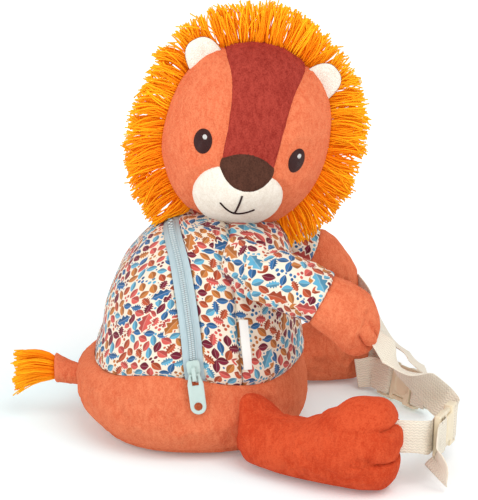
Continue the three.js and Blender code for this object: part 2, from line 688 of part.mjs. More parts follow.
// A rounded plate with an outline, its thickness centred.
function plate(outline, thick) {
  const shape = new THREE.Shape(outline.map(([x, y]) => new THREE.Vector2(x, y)));
  const { bevel } = BUCKLE;
  const depth = thick - 2 * bevel;
  const rounding = { depth, bevelThickness: bevel, bevelSize: bevel, bevelOffset: -bevel, bevelSegments: 1 };
  const form = new THREE.ExtrudeGeometry(shape, rounding);
  form.translate(0, 0, -depth / 2);
  return solidOf(form);
}

// The slot that a strap passes through, starting at a distance along the buckle.
function webSlot(from) {
  const half = BAR.long / 2;
  return block(from, -half, -BUCKLE.bodyThick, from + BAR.slot, half, BUCKLE.bodyThick);
}

// Socket half: a bar for the shoulder webbing, a dished body and notches for the plug's arms
function socketSolid() {
  const { back, front, tongue, notch, dish, dishDeep } = SOCKET;
  const half = BUCKLE.wide / 2;
  const outline = [
    [back, -half],
    [notch, -half],
    [notch, -tongue],
    [front, -tongue],
    [front, tongue],
    [notch, tongue],
    [notch, half],
    [back, half],
  ];
  const slotFrom = back + BAR.wide;
  const thinned = (low, high) => block(back - 1, -BAR.long / 2, low, slotFrom, BAR.long / 2, high);
  const body = plate(outline, BUCKLE.bodyThick)
    .subtract(webSlot(slotFrom))
    .subtract(thinned(BAR.thick / 2, BUCKLE.bodyThick))
    .subtract(thinned(-BUCKLE.bodyThick, -BAR.thick / 2));
  const hollow = new THREE.SphereGeometry(1, 16, 8);
  hollow.scale(dish, dish * 0.9, dishDeep);
  hollow.translate((slotFrom + BAR.slot + front) / 2, 0, BUCKLE.bodyThick / 2);
  return body.subtract(solidOf(hollow));
}

// Plug half: two bars for the adjustable foot webbing, and arms gripping the socket's notches
function plugSolid() {
  const { back, front, armIn, armOut, armEnd } = PLUG;
  const half = BUCKLE.wide / 2;
  const thick = BUCKLE.plugThick;
  const outline = [[back, -half], [front, -half], [front, half], [back, half]];
  const inner = back + BAR.wide;
  const outer = front - BAR.wide - BAR.slot;
  const arm = (side) => {
    const [low, high] = side > 0 ? [armIn, armOut] : [-armOut, -armIn];
    const root = back + BAR.wide / 2;
    const corners = [[armEnd, low], [root, low], [root, high], [armEnd, high]];
    return plate(corners, thick - 1);
  };
  return plate(outline, thick).subtract(webSlot(inner)).subtract(webSlot(outer)).add(arm(-1)).add(arm(1));
}

// Stations along webbing rows, smoothed, each with its width direction.
function webStations(rows) {
  const curve = new THREE.CatmullRomCurve3(rows.map(vector), false, "centripetal");
  const steps = (rows.length - 1) * STRAP_STEPS;
  const stations = [];
  for (let k = 0; k <= steps; k += 1) {
    const from = rows[Math.floor(k / STRAP_STEPS)];
    const next = rows[Math.min(Math.floor(k / STRAP_STEPS) + 1, rows.length - 1)];
    const wide = across(from).lerp(across(next), (k % STRAP_STEPS) / STRAP_STEPS);
    const ahead = curve.getTangent(k / steps);
    const sideways = wide.addScaledVector(ahead, -wide.dot(ahead)).normalize();
    stations.push({ point: curve.getPoint(k / steps), sideways, outward: ahead.cross(sideways).normalize() });
  }
  return stations;
}

// Rows given in a buckle's frame, as rows of the whole.
function buckleRows(side, places, flip) {
  const frame = buckleFrame(side);
  const wide = new THREE.Vector3().setFromMatrixColumn(frame, 1).multiplyScalar(flip);
  return places.map(([x, z]) => {
    const point = new THREE.Vector3(x, 0, z).applyMatrix4(frame);
    return { x: point.x, y: point.y, z: point.z, acrossX: wide.x, acrossY: wide.y, acrossZ: wide.z };
  });
}

// Webbing of a strap, grown all round by a clearance.
function webbing(rows, grow) {
  const half = WEB.wide / 2 + grow;
  return band(webStations(rows), -half, half, -WEB.thick / 2 - grow, WEB.thick / 2 + grow);
}

// Places around a bar in a buckle's frame, from one side of it to the other through the slot.
function aroundBar(edge, way, thick) {
  const over = thick / 2 + WEB.thick / 2 + 1.5 * GAP;
  const through = edge + (way * BAR.slot) / 2;
  return [
    [edge, over],
    [through, thick / 2],
    [through + way * GAP, 0],
    [through, -thick / 2],
    [edge, -over],
  ];
}

// Foot webbing: from its free end, around the plug's inner bar and on to the toe seam
function footStrapRows(side) {
  const { load } = BUCKLE_POSES[side];
  const edge = PLUG.back + BAR.wide + BAR.slot;
  const wrap = aroundBar(edge, -1, BUCKLE.plugThick).map(([x, z]) => [x, -load * z]);
  const rise = wrap[4][1];
  const out = PLUG.front + 3;
  const threaded = buckleRows(side, [[out + 5, -rise], [out, -rise], ...wrap, [out, rise]], 1);
  return [...FREE_END_ROWS[side], ...threaded, ...FOOT_STRAP_ROWS[side]];
}

// Shoulder webbing: lapped around the socket's bar, then up to the hand
function shoulderStrapRows(side) {
  const rows = SHOULDER_STRAP_ROWS[side];
  const edge = SOCKET.back + BAR.wide;
  const loop = aroundBar(edge, 1, BAR.thick);
  const near = WEB.thick * 1.6;
  const lapped = [[edge - 14, WEB.thick], [edge - 6, near], ...loop, [edge - 6, -near]];
  const flip = Math.sign(rows[0].acrossZ * BUCKLE_POSES[side].tiltZ);
  return [...buckleRows(side, lapped, flip), ...rows];
}

// The pocket that a strap's sewn end sits in, a little longer and larger than the webbing.
function sewnPocket(rows) {
  const [before, last] = rows.slice(-2);
  const past = vector(last).addScaledVector(vector(last).sub(vector(before)).normalize(), 2 * GAP);
  return webbing([...rows.slice(0, -1), { ...last, x: past.x, y: past.y, z: past.z }], 1.5 * GAP);
}

// Assembly
const lion = new THREE.Group();
lion.name = "kids_backpack";

// Adds a named piece, given in place or in a frame of its own.
function addPiece(name, solid, material, frame) {
  const geometry = solid.isBufferGeometry ? solid : geometryOf(solid);
  const mesh = new THREE.Mesh(geometry, material);
  mesh.name = name;
  if (frame) {
    mesh.applyMatrix4(frame);
  }
  lion.add(mesh);
}

addPiece("bottom_panel", bottomPanel, CORAL);
addPiece("base_side", baseSide, CORAL);
addPiece("shirt_back", shirtBack, PRINT);
addPiece("shirt_front", shirtFront, PRINT);
addPiece("zip_tape_front", tapeFront, TAPE);
addPiece("zip_tape_back", tapeBack, TAPE);
addPiece("zip_coil", zipCoil, TAPE);
addPiece("zip_slider", sliderSolid(), ENAMEL, sliderFrame);
addPiece("zip_pull", pullGeometry(), ENAMEL, pullFrame);
addPiece("side_label", labelSolid(), LABEL_CLOTH);
addPiece("head", turned(headOuter.subtract(pockets)), CORAL);
addPiece("forehead_panel", turned(inlay(foreheadBlock)), DARK_RED);
addPiece("muzzle", turned(inlay(muzzleBlock)), CREAM);
addPiece("nose", turned(inlay(noseBlock)), BROWN);
addPiece("mane", turned(maneSolid(headClear)), YARN);
addPiece("tail", tailSolid(TAIL_ROWS), CORAL);
addPiece("tail_tassel", tailSolid(TASSEL_ROWS), YARN);
for (const side of ["right", "left"]) {
  const footRows = footStrapRows(side);
  const shoulderRows = shoulderStrapRows(side);
  addPiece(`eye_${side}`, turned(stitchedSkin.intersect(eyeBlock(side === "right" ? -1 : 1))), BROWN);
  addPiece(`ear_front_${side}`, turned(ears[side].front), CREAM);
  addPiece(`ear_back_${side}`, turned(ears[side].back), DARK_RED);
  addPiece(`sleeve_${side}`, limb(ARM_LINES[side], SLEEVE_ROWS).subtract(bodyClear), PRINT);
  const hand = limb(ARM_LINES[side], HAND_ROWS);
  addPiece(`hand_${side}`, hand.subtract(sewnPocket(shoulderRows)), CORAL);
  const leg = limb(LEG_LINES[side], LEG_ROWS).subtract(bodyClear);
  addPiece(`leg_${side}`, leg.subtract(sewnPocket(footRows)), CORAL);
  addPiece(`foot_strap_${side}`, webbing(footRows, 0), WEBBING);
  addPiece(`shoulder_strap_${side}`, webbing(shoulderRows, 0), WEBBING);
  addPiece(`buckle_socket_${side}`, socketSolid(), BUCKLE_PLASTIC, buckleFrame(side));
  addPiece(`buckle_plug_${side}`, plugSolid(), BUCKLE_PLASTIC, buckleFrame(side));
}

export default lion;
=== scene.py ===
"""Looks for a sitting plush lion that is a child's backpack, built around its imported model."""

import math
import random
from functools import partialmethod

import bmesh
import bpy
from mathutils import Matrix, Vector, noise


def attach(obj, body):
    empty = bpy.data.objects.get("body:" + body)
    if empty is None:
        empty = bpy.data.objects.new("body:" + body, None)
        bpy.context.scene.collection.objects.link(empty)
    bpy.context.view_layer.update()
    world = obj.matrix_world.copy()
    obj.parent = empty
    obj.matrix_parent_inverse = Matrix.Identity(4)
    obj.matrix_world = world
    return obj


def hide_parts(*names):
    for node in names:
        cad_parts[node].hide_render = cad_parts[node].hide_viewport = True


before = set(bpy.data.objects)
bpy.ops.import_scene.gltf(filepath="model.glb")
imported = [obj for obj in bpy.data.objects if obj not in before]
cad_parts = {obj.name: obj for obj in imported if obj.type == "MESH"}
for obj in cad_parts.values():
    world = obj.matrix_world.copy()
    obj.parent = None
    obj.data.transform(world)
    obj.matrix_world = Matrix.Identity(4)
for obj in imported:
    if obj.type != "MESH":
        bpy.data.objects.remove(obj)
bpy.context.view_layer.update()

bl_info = {
    "name": "Plush Lion Backpack",
    "version": (1, 0, 0),
    "blender": (4, 5, 0),
    "location": "3D View > Sidebar > Lion",
    "description": "Builds the cloth, yarn, zip, webbing and buckles of a plush lion backpack",
    "category": "Object",
}

# Sizes below are in millimetres, as the lion was measured; meshes are in metres.
MM = 0.001
TURN = 2 * math.pi
SIDES = {"right": -1, "left": 1}

# Bag body: height, half-width, reach to the front and reach to the back
BODY_ROUNDING = 2.3
BOTTOM_SEAM = 6
BASE_SEAM = 61
BODY_ROWS = (
    (0, 68, 74, 60),
    (4, 80, 81, 70),
    (14, 91, 87, 77),
    (31, 97, 91, 87.5),
    (48, 95, 91, 90),
    (56, 91, 89, 82),
    (66, 89, 88, 74),
    (80, 88, 87, 70),
    (104, 85, 85, 65),
    (131, 77, 81, 54),
    (150, 66, 76, 39),
    (163, 53, 69, 25),
    (172, 36, 56, 7),
    (176, 0, 25, -25),
)
BODY_MIDDLE = Vector((0, -15, 90))
# Mean reach of the body, by which a turn round it is spaced along its seams
BODY_REACH = 80
# Seam between base and printed cloth: turn from the back, reach of the wave there and its rise
SEAM_WAVES = ((1.31, 0.42, 6.5), (2.18, 0.4, -3.2))

# Seams: how deep and how far their stitches draw cloth in, and the puckers beside them
SEAM_DEEP = 2.6
SEAM_REACH = 1.9
SIDE_SEAM_PULL = 1.4
PUCKER_DEEP = 0.9
PUCKER_LONG = 5.5
PUCKER_REACH = 7

# Unevenness of stuffed or loose cloth: size of its dents, their height and a salt that sets them apart
RIPPLES = {
    "base": ((26, 0.9, 0), (11, 0.35, 0)),
    "head": ((24, 0.8, 0), (9, 0.25, 0)),
    "sleeve": ((19, 1.2, 2), (8, 0.35, 0)),
    "hand": ((17, 0.9, 0), (7, 0.25, 0)),
    "leg": ((24, 1.2, 4), (9, 0.35, 0)),
}
DRAPE = (24, 1.5, 5)
CRUMPLE = (10, 0.4, 9)

# Side seam of the printed cloth, then the zip: height and distance back from the body's middle
SEAM_ROWS = ((0, -48), (61, -42), (176, -30))
ZIP_ROWS = (
    (40, -8),
    (62.5, -6),
    (78, -4),
    (96, -2.5),
    (115, 0),
    (136, 3.5),
    (152, 7.5),
    (165, 13),
    (176, 19),
)
ZIP_TOP = 175.6
TAPE_HALF = 6.9
TOOTH_PITCH = 1.5
TOOTH_HALF = (1.2, 0.56, 0.7)
MOULDED_EDGE = 0.5

# Folded label in the side seam
LABEL_LOW = 72
LABEL_LONG = 38
LABEL_WIDE = 7

# Head before it is turned: angle from the top and reach of its outline
HEAD_CENTRE = Vector((-10, -43, 235))
HEAD_TURN = (4, 13, -85)
HEAD_FRONT = 52
HEAD_BACK = 46
HEAD_ROWS = (
    (-30, 71),
    (0, 73),
    (30, 71),
    (52, 68),
    (72, 63.5),
    (90, 62),
    (120, 64.5),
    (150, 69.5),
    (180, 71),
    (210, 69.5),
)
BUMP_OUT = 13
BUMP_HEIGHT = -33
BUMP_WIDE = 26
BUMP_HIGH = 21
HEAD_SEAM_DEEP = 1.6
HEAD_SEAM_LEAN = 91
HEAD_SEAM_WIDE = 2.6

# Sewn-in face panels: height on the head and half-width there
FOREHEAD_ROWS = ((-9, 20.2), (-4.5, 20.4), (6, 20.9), (20, 21.3), (36, 22.2), (50, 25.5), (62, 31), (73, 37))
NOSE_ROWS = (
    (-28.5, 0),
    (-27.5, 7),
    (-26, 10.8),
    (-23, 15.3),
    (-20, 18),
    (-17, 19.7),
    (-14, 20.7),
    (-11, 21),
    (-8, 20.4),
    (-5, 18.6),
    (-2, 15.1),
    (0, 11.2),
    (1.5, 5.7),
    (2, 0),
)
MUZZLE_ROWS = (
    (-70.2, 0),
    (-69, 12),
    (-63, 22.5),
    (-50, 32),
    (-37, 34.5),
    (-25, 31.5),
    (-17, 25),
    (-13.5, 18),
)
# Panels' seams: how far the head's cloth sinks under them, and how far and how wide their edges dive
PANEL_SUNK = 1.7
PANEL_DIVE = 1.8
PANEL_EDGE = 1.7
EYE_APART = 35.6
EYE_WIDE = 6.5
EYE_HIGH = 9.5
EYE_RISE = 0.9
GLINT_OFF = 0.8
GLINT_UP = 3.7
GLINT_WIDE = 1.9
GLINT_HIGH = 2.2
GLINT_RISE = 1.4
MOUTH_TOP = -30
MOUTH_LONG = 19
MOUTH_THICK = 1.5
SMILE_HALF = 13
SMILE_HEIGHT = -42.5
SMILE_DEEP = 6.5
EAR_ANGLE = 40
EAR_WIDE = 13.6
EAR_HIGH = 16
EAR_THICK = 3.4
EAR_FORWARD = 7

# Yarn fringe: angle round the head, how far it stands out and how far it is swept back; then the degrees that
# it runs on past the table's ends and lies only in front beside an ear, and how its strands gather
MANE_ROWS = (
    (-150, 32, 9),
    (-115, 31, 9),
    (-70, 27, 8),
    (-30, 30, 6),
    (0, 31, 4),
    (30, 29, 3),
    (60, 31, 2),
    (100, 30, 2),
    (132, 28, 2),
)
MANE_PAST = (6, 14)
EAR_BARE = 14
TUFT_WIDE = 6.8
LOCK_LEAN = 9
STRAY_SHARE = 0.06
STRAND_STEPS = 5
MANE_SEED = 7

# Arms: middle line of each, then share of the length, rise, half-width and half-height
ARM_LINES = {
    "right": ((-60, -30, 152), (-84, -56, 147), (-93, -86, 137), (-96, -106, 127), (-98, -139, 109)),
    "left": ((60, -30, 150), (82, -56, 140), (90, -84, 122), (93, -104, 111), (95, -139, 95)),
}
SLEEVE_ROWS = (
    (0, 0, 4, 8),
    (0.03, 0, 11, 19),
    (0.14, 0, 14, 20),
    (0.3, 0, 18, 20.5),
    (0.47, 0, 20, 20.5),
    (0.6, 0, 20.5, 20.8),
    (0.633, 0, 20.4, 20.6),
    (0.639, 0, 18.6, 18.8),
    (0.635, 0, 15, 15),
)
HAND_ROWS = (
    (0.615, 0, 15, 15),
    (0.635, 0, 18, 18.4),
    (0.66, 0, 19.6, 20.2),
    (0.72, 0, 20.6, 21.4),
    (0.79, -0.6, 20.8, 22),
    (0.87, -2.2, 19.4, 20.8),
    (0.93, -4.4, 16, 17.4),
    (0.97, -6.2, 11.8, 13),
    (0.992, -7.4, 6.5, 7.4),
    (1, -7.8, 0.3, 0.4),
)

# Legs: line of each on the floor plan, then share of the length, rise, half-width and half-height
LEG_LINES = {
    "right": ((-68, -30, 0), (-98, -58, 0), (-121, -90, 0), (-136, -122, 0), (-145, -154, 0)),
    "left": ((64, -28, 0), (80, -58, 0), (88, -90, 0), (93, -118, 0), (99, -147, 0)),
}
LEG_ROWS = (
    (0, 26, 3, 6),
    (0.07, 26.6, 7, 17),
    (0.14, 27.4, 9, 24.5),
    (0.19, 28.2, 16, 26.4),
    (0.235, 26.4, 21.5, 24.8),
    (0.3, 23.8, 23, 22.2),
    (0.38, 22.8, 23.6, 21.2),
    (0.47, 23.4, 24, 21.8),
    (0.56, 26, 24.6, 24.6),
    (0.65, 30.8, 25.6, 30),
    (0.74, 35.2, 26.4, 34.6),
    (0.83, 36.5, 27, 36),
    (0.92, 36.5, 25, 34.5),
    (0.97, 36.5, 18, 27),
    (0.992, 36.5, 9.5, 15),
    (1, 36.5, 0.4, 0.6),
)
TOE_LINES = (19, -8)

# Tail: distance back, height, half-width and half-height
TAIL_ROWS = (
    (74, 35, 8, 7.5),
    (84, 37, 8.2, 8),
    (96, 40.5, 9, 9.5),
    (104, 43, 10, 11),
    (107.5, 44, 10.2, 11.5),
    (109, 44, 7, 8),
)
TASSEL_LONG = 34
TASSEL_HALF = (8.5, 16.5)
TASSEL_RINGS = 3
TASSEL_LOCKS = 5
TASSEL_SEED = 3

# Their cloth as the stuffing presses it out, and how far it may move
CLOTH_FRAMES = 20
CLOTH_PRESSURE = 4
CLOTH_MASS = 0.002
CLOTH_BENDING = 0.05
CLOTH_SLACK = 0.03
CLOTH_QUALITY = 4
SWELL = 2.2
HEAD_SWELL = 1.5

# Webbing and buckles: places along the buckle, and each buckle's place, run and tilt
WEB_WIDE = 25
WEB_THICK = 1.6
WEB_GAP = 0.6
BAR_WIDE = 3.6
BAR_SLOT = 4.2
BAR_THICK = 3.4
PLUG_THICK = 5
PLUG_BACK = 4.5
PLUG_FRONT = 24
SOCKET_BACK = -24
BUCKLES = {
    "right": {"at": (-104, -190, 33), "along": (-0.93, 0.34, 0.1), "tilt": (0, 0, 1), "load": 1},
    "left": {"at": (38, -170, 17), "along": (0.82, 0.57, 0), "tilt": (0, 0.25, -0.97), "load": -1},
}
# Webbing rows: place, then the direction across the strap there
FOOT_STRAPS = {
    "right": (
        ((-138, -172, 40), (0, 0, 1)),
        ((-142, -160, 42), (0, 0, 1)),
        ((-143, -148, 43), (0, 0, 1)),
    ),
    "left": (
        ((80, -157, 18), (0, 0, -1)),
        ((92, -157, 19), (0, 0, -1)),
        ((98.5, -152, 20), (0, 0, -1)),
        ((98.5, -146, 20), (0, 0, -1)),
        ((98, -140, 20), (0, 0, -1)),
    ),
}
SHOULDER_STRAPS = {
    "right": (
        ((-68, -201, 31), (0, 0.2, -1)),
        ((-61, -193, 38), (0, 0.6, -0.8)),
        ((-66, -184, 49), (0.1, 0.9, -0.5)),
        ((-78, -173, 63), (0.4, 0.8, -0.5)),
        ((-92, -158, 76), (1, 0.1, -0.2)),
        ((-94, -148, 90), (0.8, -0.6, 0.1)),
        ((-95, -136, 103), (0.8, -0.5, -0.3)),
    ),
    "left": (
        ((7, -190, 19), (0, 0, 1)),
        ((0, -189, 31), (0.4, 0.3, 0.8)),
        ((10, -180, 44), (0.2, 0.7, 0.6)),
        ((30, -168, 50), (0.1, 0.8, 0.5)),
        ((58, -157, 56), (-0.2, 0.6, 0.7)),
        ((82, -148, 75), (-0.6, 0.1, 0.7)),
        ((93, -136, 88), (-0.6, 0, 0.7)),
    ),
}
FREE_ENDS = {
    "right": (
        ((-138, -181, 10), (-0.75, -0.65, 0)),
        ((-142, -184, 20), (-0.9, -0.3, 0.3)),
        ((-140, -182, 31), (-0.6, 0.2, 0.8)),
    ),
    "left": (((66, -136, 15), (0, 0, -1)), ((64, -142, 16), (0, 0, -1))),
}

# Columns and rows of the meshes of cloth
GRIDS = {
    "base": (168, 30),
    "bottom": (120, 16),
    "shirt_front": (84, 52),
    "shirt_back": (90, 52),
    "shirt_strip": (16, 52),
    "zip_tape": (20, 60),
    "label": (18, 24),
    "head": (150, 96),
    "forehead_panel": (44, 60),
    "muzzle": (48, 44),
    "nose": (36, 28),
    "eye": (26, 8),
    "glint": (14, 8),
    "ear": (48, 14),
    "arm": (96, 60),
    "leg": (128, 120),
    "tail": (32, 34),
}
WEB_COLUMNS = 28
WEB_STEPS = 6

# Printed leaves by size: pitch, length, what chance adds to it, half-width, the chance above which an edge is
# lobed, the lobes along it, and the chance below which berries take the leaf's place
LEAVES = {
    "small": (1, 0.4, 0.08, 0.24, 0.8, 17, 0.13),
    "large": (2.3, 0.34, 0.05, 0.15, 0.55, 11, 0),
}
LEAF_SWING = 1.7
LEAF_HUES = (0.0, 0.2, 0.42, 0.6, 0.72, 0.88)
LEAF_SHADE = (0.5, 0.42, 0.45)
BERRIES = ((-0.17, -0.08), (0.16, -0.13), (0.02, 0.18))

# Stage, in metres: half the floor, squares of the distances over which its painted cyan tint, which cancels
# the lion's warm bounce light, ends and its glow grows, and the least and most glow; then each lamp's place
# and size, and what the lamps face
FLOOR_HALF = 40
BOUNCE_TINT_ENDS = (0.014, 0.06)
GLOW_GROWS = (0.04, 0.8)
GLOW_LEAST = (0.12, 0.12, 0.12)
GLOW_MOST = (0.6, 0.6, 0.6)
LAMPS = {"key": ((-0.95, -0.5, 1.35), 1.1), "fill": ((-0.9, 1.3, 0.8), 1.4)}
LAMP_AIM = (0, -0.03, 0.15)


def tint(red, green, blue):
    """A display colour from 0 to 255 as a linear one."""
    return tuple(((part / 255 + 0.055) / 1.055) ** 2.4 for part in (red, green, blue))


def colour_prop(name, description, default):
    """A colour setting."""
    return bpy.props.FloatVectorProperty(
        name=name, description=description, subtype="COLOR", size=3, min=0, max=1, default=tint(*default)
    )


def number_prop(name, description, default, low, high, unit="NONE"):
    """A number setting."""
    return bpy.props.FloatProperty(
        name=name, description=description, default=default, min=low, max=high, unit=unit
    )


def count_prop(name, description, default, low, high):
    """A setting that counts."""
    return bpy.props.IntProperty(name=name, description=description, default=default, min=low, max=high)


def place_prop(name, description, default):
    """A place, in metres."""
    return bpy.props.FloatVectorProperty(
        name=name, description=description, subtype="XYZ", size=3, default=default
    )


class LionPlush(bpy.types.PropertyGroup):
    """Colours and pile of the plush."""

    coral: colour_prop("Coral", "Plush of the head, hands, legs and base", (227, 128, 88))
    coral_deep: colour_prop("Coral Shade", "Coral plush where its pile is brushed up", (208, 97, 61))
    # Leg and Leg Shade are painted shade: a darker copy of the coral plush, standing in for how the near
    # leg's nap, lying towards the foot, catches less light.
    leg: colour_prop("Leg", "Coral plush of the near leg, whose nap lies towards the foot", (212, 85, 48))
    leg_deep: colour_prop("Leg Shade", "The near leg's plush where its pile is brushed up", (188, 60, 28))
    red: colour_prop("Dark Red", "Plush of the forehead and of the ears' backs", (170, 64, 52))
    red_deep: colour_prop("Dark Red Shade", "Dark red plush where its pile is brushed up", (132, 36, 28))
    cream: colour_prop("Cream", "Plush of the muzzle and of the ears' fronts", (240, 232, 220))
    cream_deep: colour_prop("Cream Shade", "Cream plush where its pile is brushed up", (224, 212, 196))
    brown: colour_prop("Brown", "Plush of the nose", (88, 54, 42))
    brown_deep: colour_prop("Brown Shade", "Brown plush where its pile is brushed up", (62, 36, 27))
    pile: number_prop("Pile", "Size of a tuft of the pile", 0.0011, 0.0004, 0.004, "LENGTH")


class LionPrint(bpy.types.PropertyGroup):
    """Printed cloth of the body and sleeves."""

    ground: colour_prop("Ground", "Cloth between the leaves", (238, 224, 204))
    blue: colour_prop("Blue", "Darker blue leaves", (52, 108, 160))
    sky: colour_prop("Sky", "Lighter blue leaves", (98, 170, 200))
    ochre: colour_prop("Ochre", "Yellow-brown leaves", (198, 122, 58))
    rust: colour_prop("Rust", "Red-brown leaves", (190, 86, 52))
    rose: colour_prop("Rose", "Pink-red leaves", (212, 92, 84))
    wine: colour_prop("Wine", "Dark red leaves and berries", (126, 34, 56))
    pitch: number_prop("Pitch", "Distance between leaves of one layer", 0.0102, 0.004, 0.05, "LENGTH")


class LionYarn(bpy.types.PropertyGroup):
    """Yarn of the mane and of the tail's tassel."""

    light: colour_prop("Light Yarn", "Yarn where it catches the light", (255, 190, 26))
    # Deep yarn also colours the painted shade and the painted glow of the yarn.
    deep: colour_prop("Deep Yarn", "Yarn of the darker strands", (248, 134, 4))
    thick: number_prop("Strand", "Thickness of a strand", 0.001, 0.0004, 0.003, "LENGTH")
    mane: count_prop("Mane Strands", "Strands in the mane", 2050, 100, 4400)
    tassel: count_prop("Tassel Strands", "Strands in the tassel", 330, 50, 1500)


class LionTrim(bpy.types.PropertyGroup):
    """Colours of the zip, webbing, buckles, label and stitching."""

    tape: colour_prop("Zip Tape", "Woven tape of the zip", (188, 208, 214))
    teeth: colour_prop("Zip Teeth", "Moulded teeth of the zip", (216, 228, 230))
    enamel: colour_prop("Enamel", "Zip slider and its pull", (188, 208, 202))
    webbing: colour_prop("Webbing", "Straps", (237, 226, 207))
    buckle: colour_prop("Buckles", "Moulded buckles", (240, 224, 194))
    label: colour_prop("Label", "Folded label in the side seam", (246, 245, 240))
    thread: colour_prop("Thread", "Stitching of the eyes and mouth", (66, 24, 22))
    glint: colour_prop("Glint", "Stitched highlight of each eye", (250, 248, 244))


class LionStage(bpy.types.PropertyGroup):
    """Floor, light and camera."""

    floor: colour_prop("Floor", "Plain floor", (248, 251, 251))
    # Floor Shade is a painted cyan tint beside the lion, which cancels the warm light that the lion throws
    # back onto the floor.
    shade: colour_prop("Floor Shade", "Floor beside the lion, which throws its colour back", (230, 249, 251))
    daylight: number_prop("Daylight", "Strength of the even light", 0.72, 0, 3)
    key: number_prop("Key Light", "Power of the main lamp", 11.6, 0, 500, "POWER")
    fill: number_prop("Fill Light", "Power of the side lamp", 9.5, 0, 500, "POWER")
    lens: number_prop("Lens", "Focal length of the camera", 129.2, 20, 400, "CAMERA")
    eye: place_prop("Camera Place", "Where the camera stands", (-1.3458, -0.038, 0.5269))
    aim: place_prop("Camera Aim", "What the camera looks at", (0, -0.038, 0.141))


class Tone:
    """A number that varies over a surface; Python's operators on it add Math nodes."""

    def __init__(self, finish, socket):
        self.finish = finish
        self.socket = socket

    def math(self, operation, *others):
        """A Math node of this number and any others."""
        made = self.finish.node("ShaderNodeMath", {"operation": operation}, dict(enumerate((self, *others))))
        return Tone(self.finish, made.outputs[0])

    __add__ = __radd__ = partialmethod(math, "ADD")
    __sub__ = partialmethod(math, "SUBTRACT")
    __mul__ = __rmul__ = partialmethod(math, "MULTIPLY")
    __truediv__ = partialmethod(math, "DIVIDE")
    __pow__ = partialmethod(math, "POWER")
    __abs__ = partialmethod(math, "ABSOLUTE")
    __gt__ = partialmethod(math, "GREATER_THAN")
    __lt__ = partialmethod(math, "LESS_THAN")

    def __rsub__(self, other):
        return self * -1 + other

    def waves(self, period):
        """Even waves from -1 to 1, a period apart."""
        return (self * (TURN / period)).math("SINE")

    def between(self, low, high):
        """0 below low, 1 above high and a soft step between them."""
        sockets = {"Value": self, "From Min": low, "From Max": high}
        made = self.finish.node("ShaderNodeMapRange", {"interpolation_type": "SMOOTHSTEP"}, sockets)
        return Tone(self.finish, made.outputs[0])


class Finish:
    """A material, with one method that adds any node to it."""

    def __init__(self, name):
        self.material = bpy.data.materials.new(name)
        self.material.use_nodes = True
        self.tree = self.material.node_tree
        self.tree.nodes.clear()

    def node(self, kind, settings=None, sockets=None):
        """A node of a kind, with its settings set first and then its sockets' values or links."""
        made = self.tree.nodes.new(kind)
        for key, value in (settings or {}).items():
            if key == "stops":
                self.set_stops(made.color_ramp, value)
            else:
                setattr(made, key, value)
        for key, value in (sockets or {}).items():
            source = value.socket if isinstance(value, Tone) else value
            if isinstance(source, bpy.types.NodeSocket):
                self.tree.links.new(source, made.inputs[key])
            else:
                made.inputs[key].default_value = source
        return made

    @staticmethod
    def set_stops(ramp, stops):
        """Stops of a ramp that keeps each colour until the next one."""
        ramp.interpolation = "CONSTANT"
        while len(ramp.elements) < len(stops):
            ramp.elements.new(1.0)
        for element, (place, colour) in zip(ramp.elements, stops):
            element.position = place
            element.color = opaque(colour)

    def place(self):
        """Where a point is on the lion."""
        return self.node("ShaderNodeTexCoord").outputs["Object"]

    def flat(self):
        """Where a point is on its piece's flat cloth, in metres across and along."""
        return self.split(self.node("ShaderNodeUVMap", {"uv_map": "flat"}).outputs["UV"])

    def split(self, vector):
        """The three numbers of a vector."""
        made = self.node("ShaderNodeSeparateXYZ", {}, {"Vector": vector})
        return [Tone(self, socket) for socket in made.outputs]

    def joined(self, x, y, z=0.0):
        """A vector of three numbers."""
        return self.node("ShaderNodeCombineXYZ", {}, {"X": x, "Y": y, "Z": z}).outputs[0]

    def grain(self, vector, scale, detail=2.0, distortion=0.0):
        """Noise of a number of features to the metre."""
        sockets = {"Vector": vector, "Scale": scale, "Detail": detail, "Distortion": distortion}
        return Tone(self, self.node("ShaderNodeTexNoise", {}, sockets).outputs[0])

    def stretched(self, vector, scale, turn=(0.0, 0.0, 0.0)):
        """A place scaled apart along its axes."""
        sockets = {"Vector": vector, "Rotation": turn, "Scale": scale}
        return self.node("ShaderNodeMapping", {}, sockets).outputs[0]

    def cells(self, across, along, pitch, salt):
        """Square cells of cloth: the place within each, from 0 to 1, and the cell's own chance."""
        column, row = across / pitch, along / pitch
        cell = self.joined(column.math("FLOOR"), row.math("FLOOR"), salt)
        chance = self.node("ShaderNodeTexWhiteNoise", {"noise_dimensions": "3D"}, {"Vector": cell})
        return column.math("FRACT"), row.math("FRACT"), chance.outputs

    def inked(self, share, stops):
        """The colour that a share picks from stops."""
        return self.node("ShaderNodeValToRGB", {"stops": stops}, {"Fac": share}).outputs[0]

    def blend(self, share, first, second, way="MIX"):
        """The colour between two, by a share."""
        sockets = {0: share, 6: opaque(first), 7: opaque(second)}
        return self.node("ShaderNodeMix", {"data_type": "RGBA", "blend_type": way}, sockets).outputs[2]

    def toned(self, colour, dark, share, rough, height, rise, fixed=None):
        """The finished material in one colour, darker where a share is low."""
        shade = tuple(part * dark for part in colour)
        return self.surface(self.blend(share, shade, colour), rough, height, rise, fixed or {})

    def surface(self, colour, rough, height, rise, fixed):
        """The finished material: colour, roughness, bump height and what is the same all over."""
        bump = self.node("ShaderNodeBump", {}, {"Height": height, "Strength": 1.0, "Distance": rise})
        sockets = {"Base Color": colour, "Roughness": rough, "Normal": bump.outputs[0], **fixed}
        shader = self.node("ShaderNodeBsdfPrincipled", {}, sockets)
        self.node("ShaderNodeOutputMaterial", {}, {"Surface": shader.outputs[0]})
        return self.material


def opaque(colour):
    """A colour with its alpha, or a socket as it is."""
    return colour if isinstance(colour, bpy.types.NodeSocket) else (*tuple(colour)[:3], 1.0)


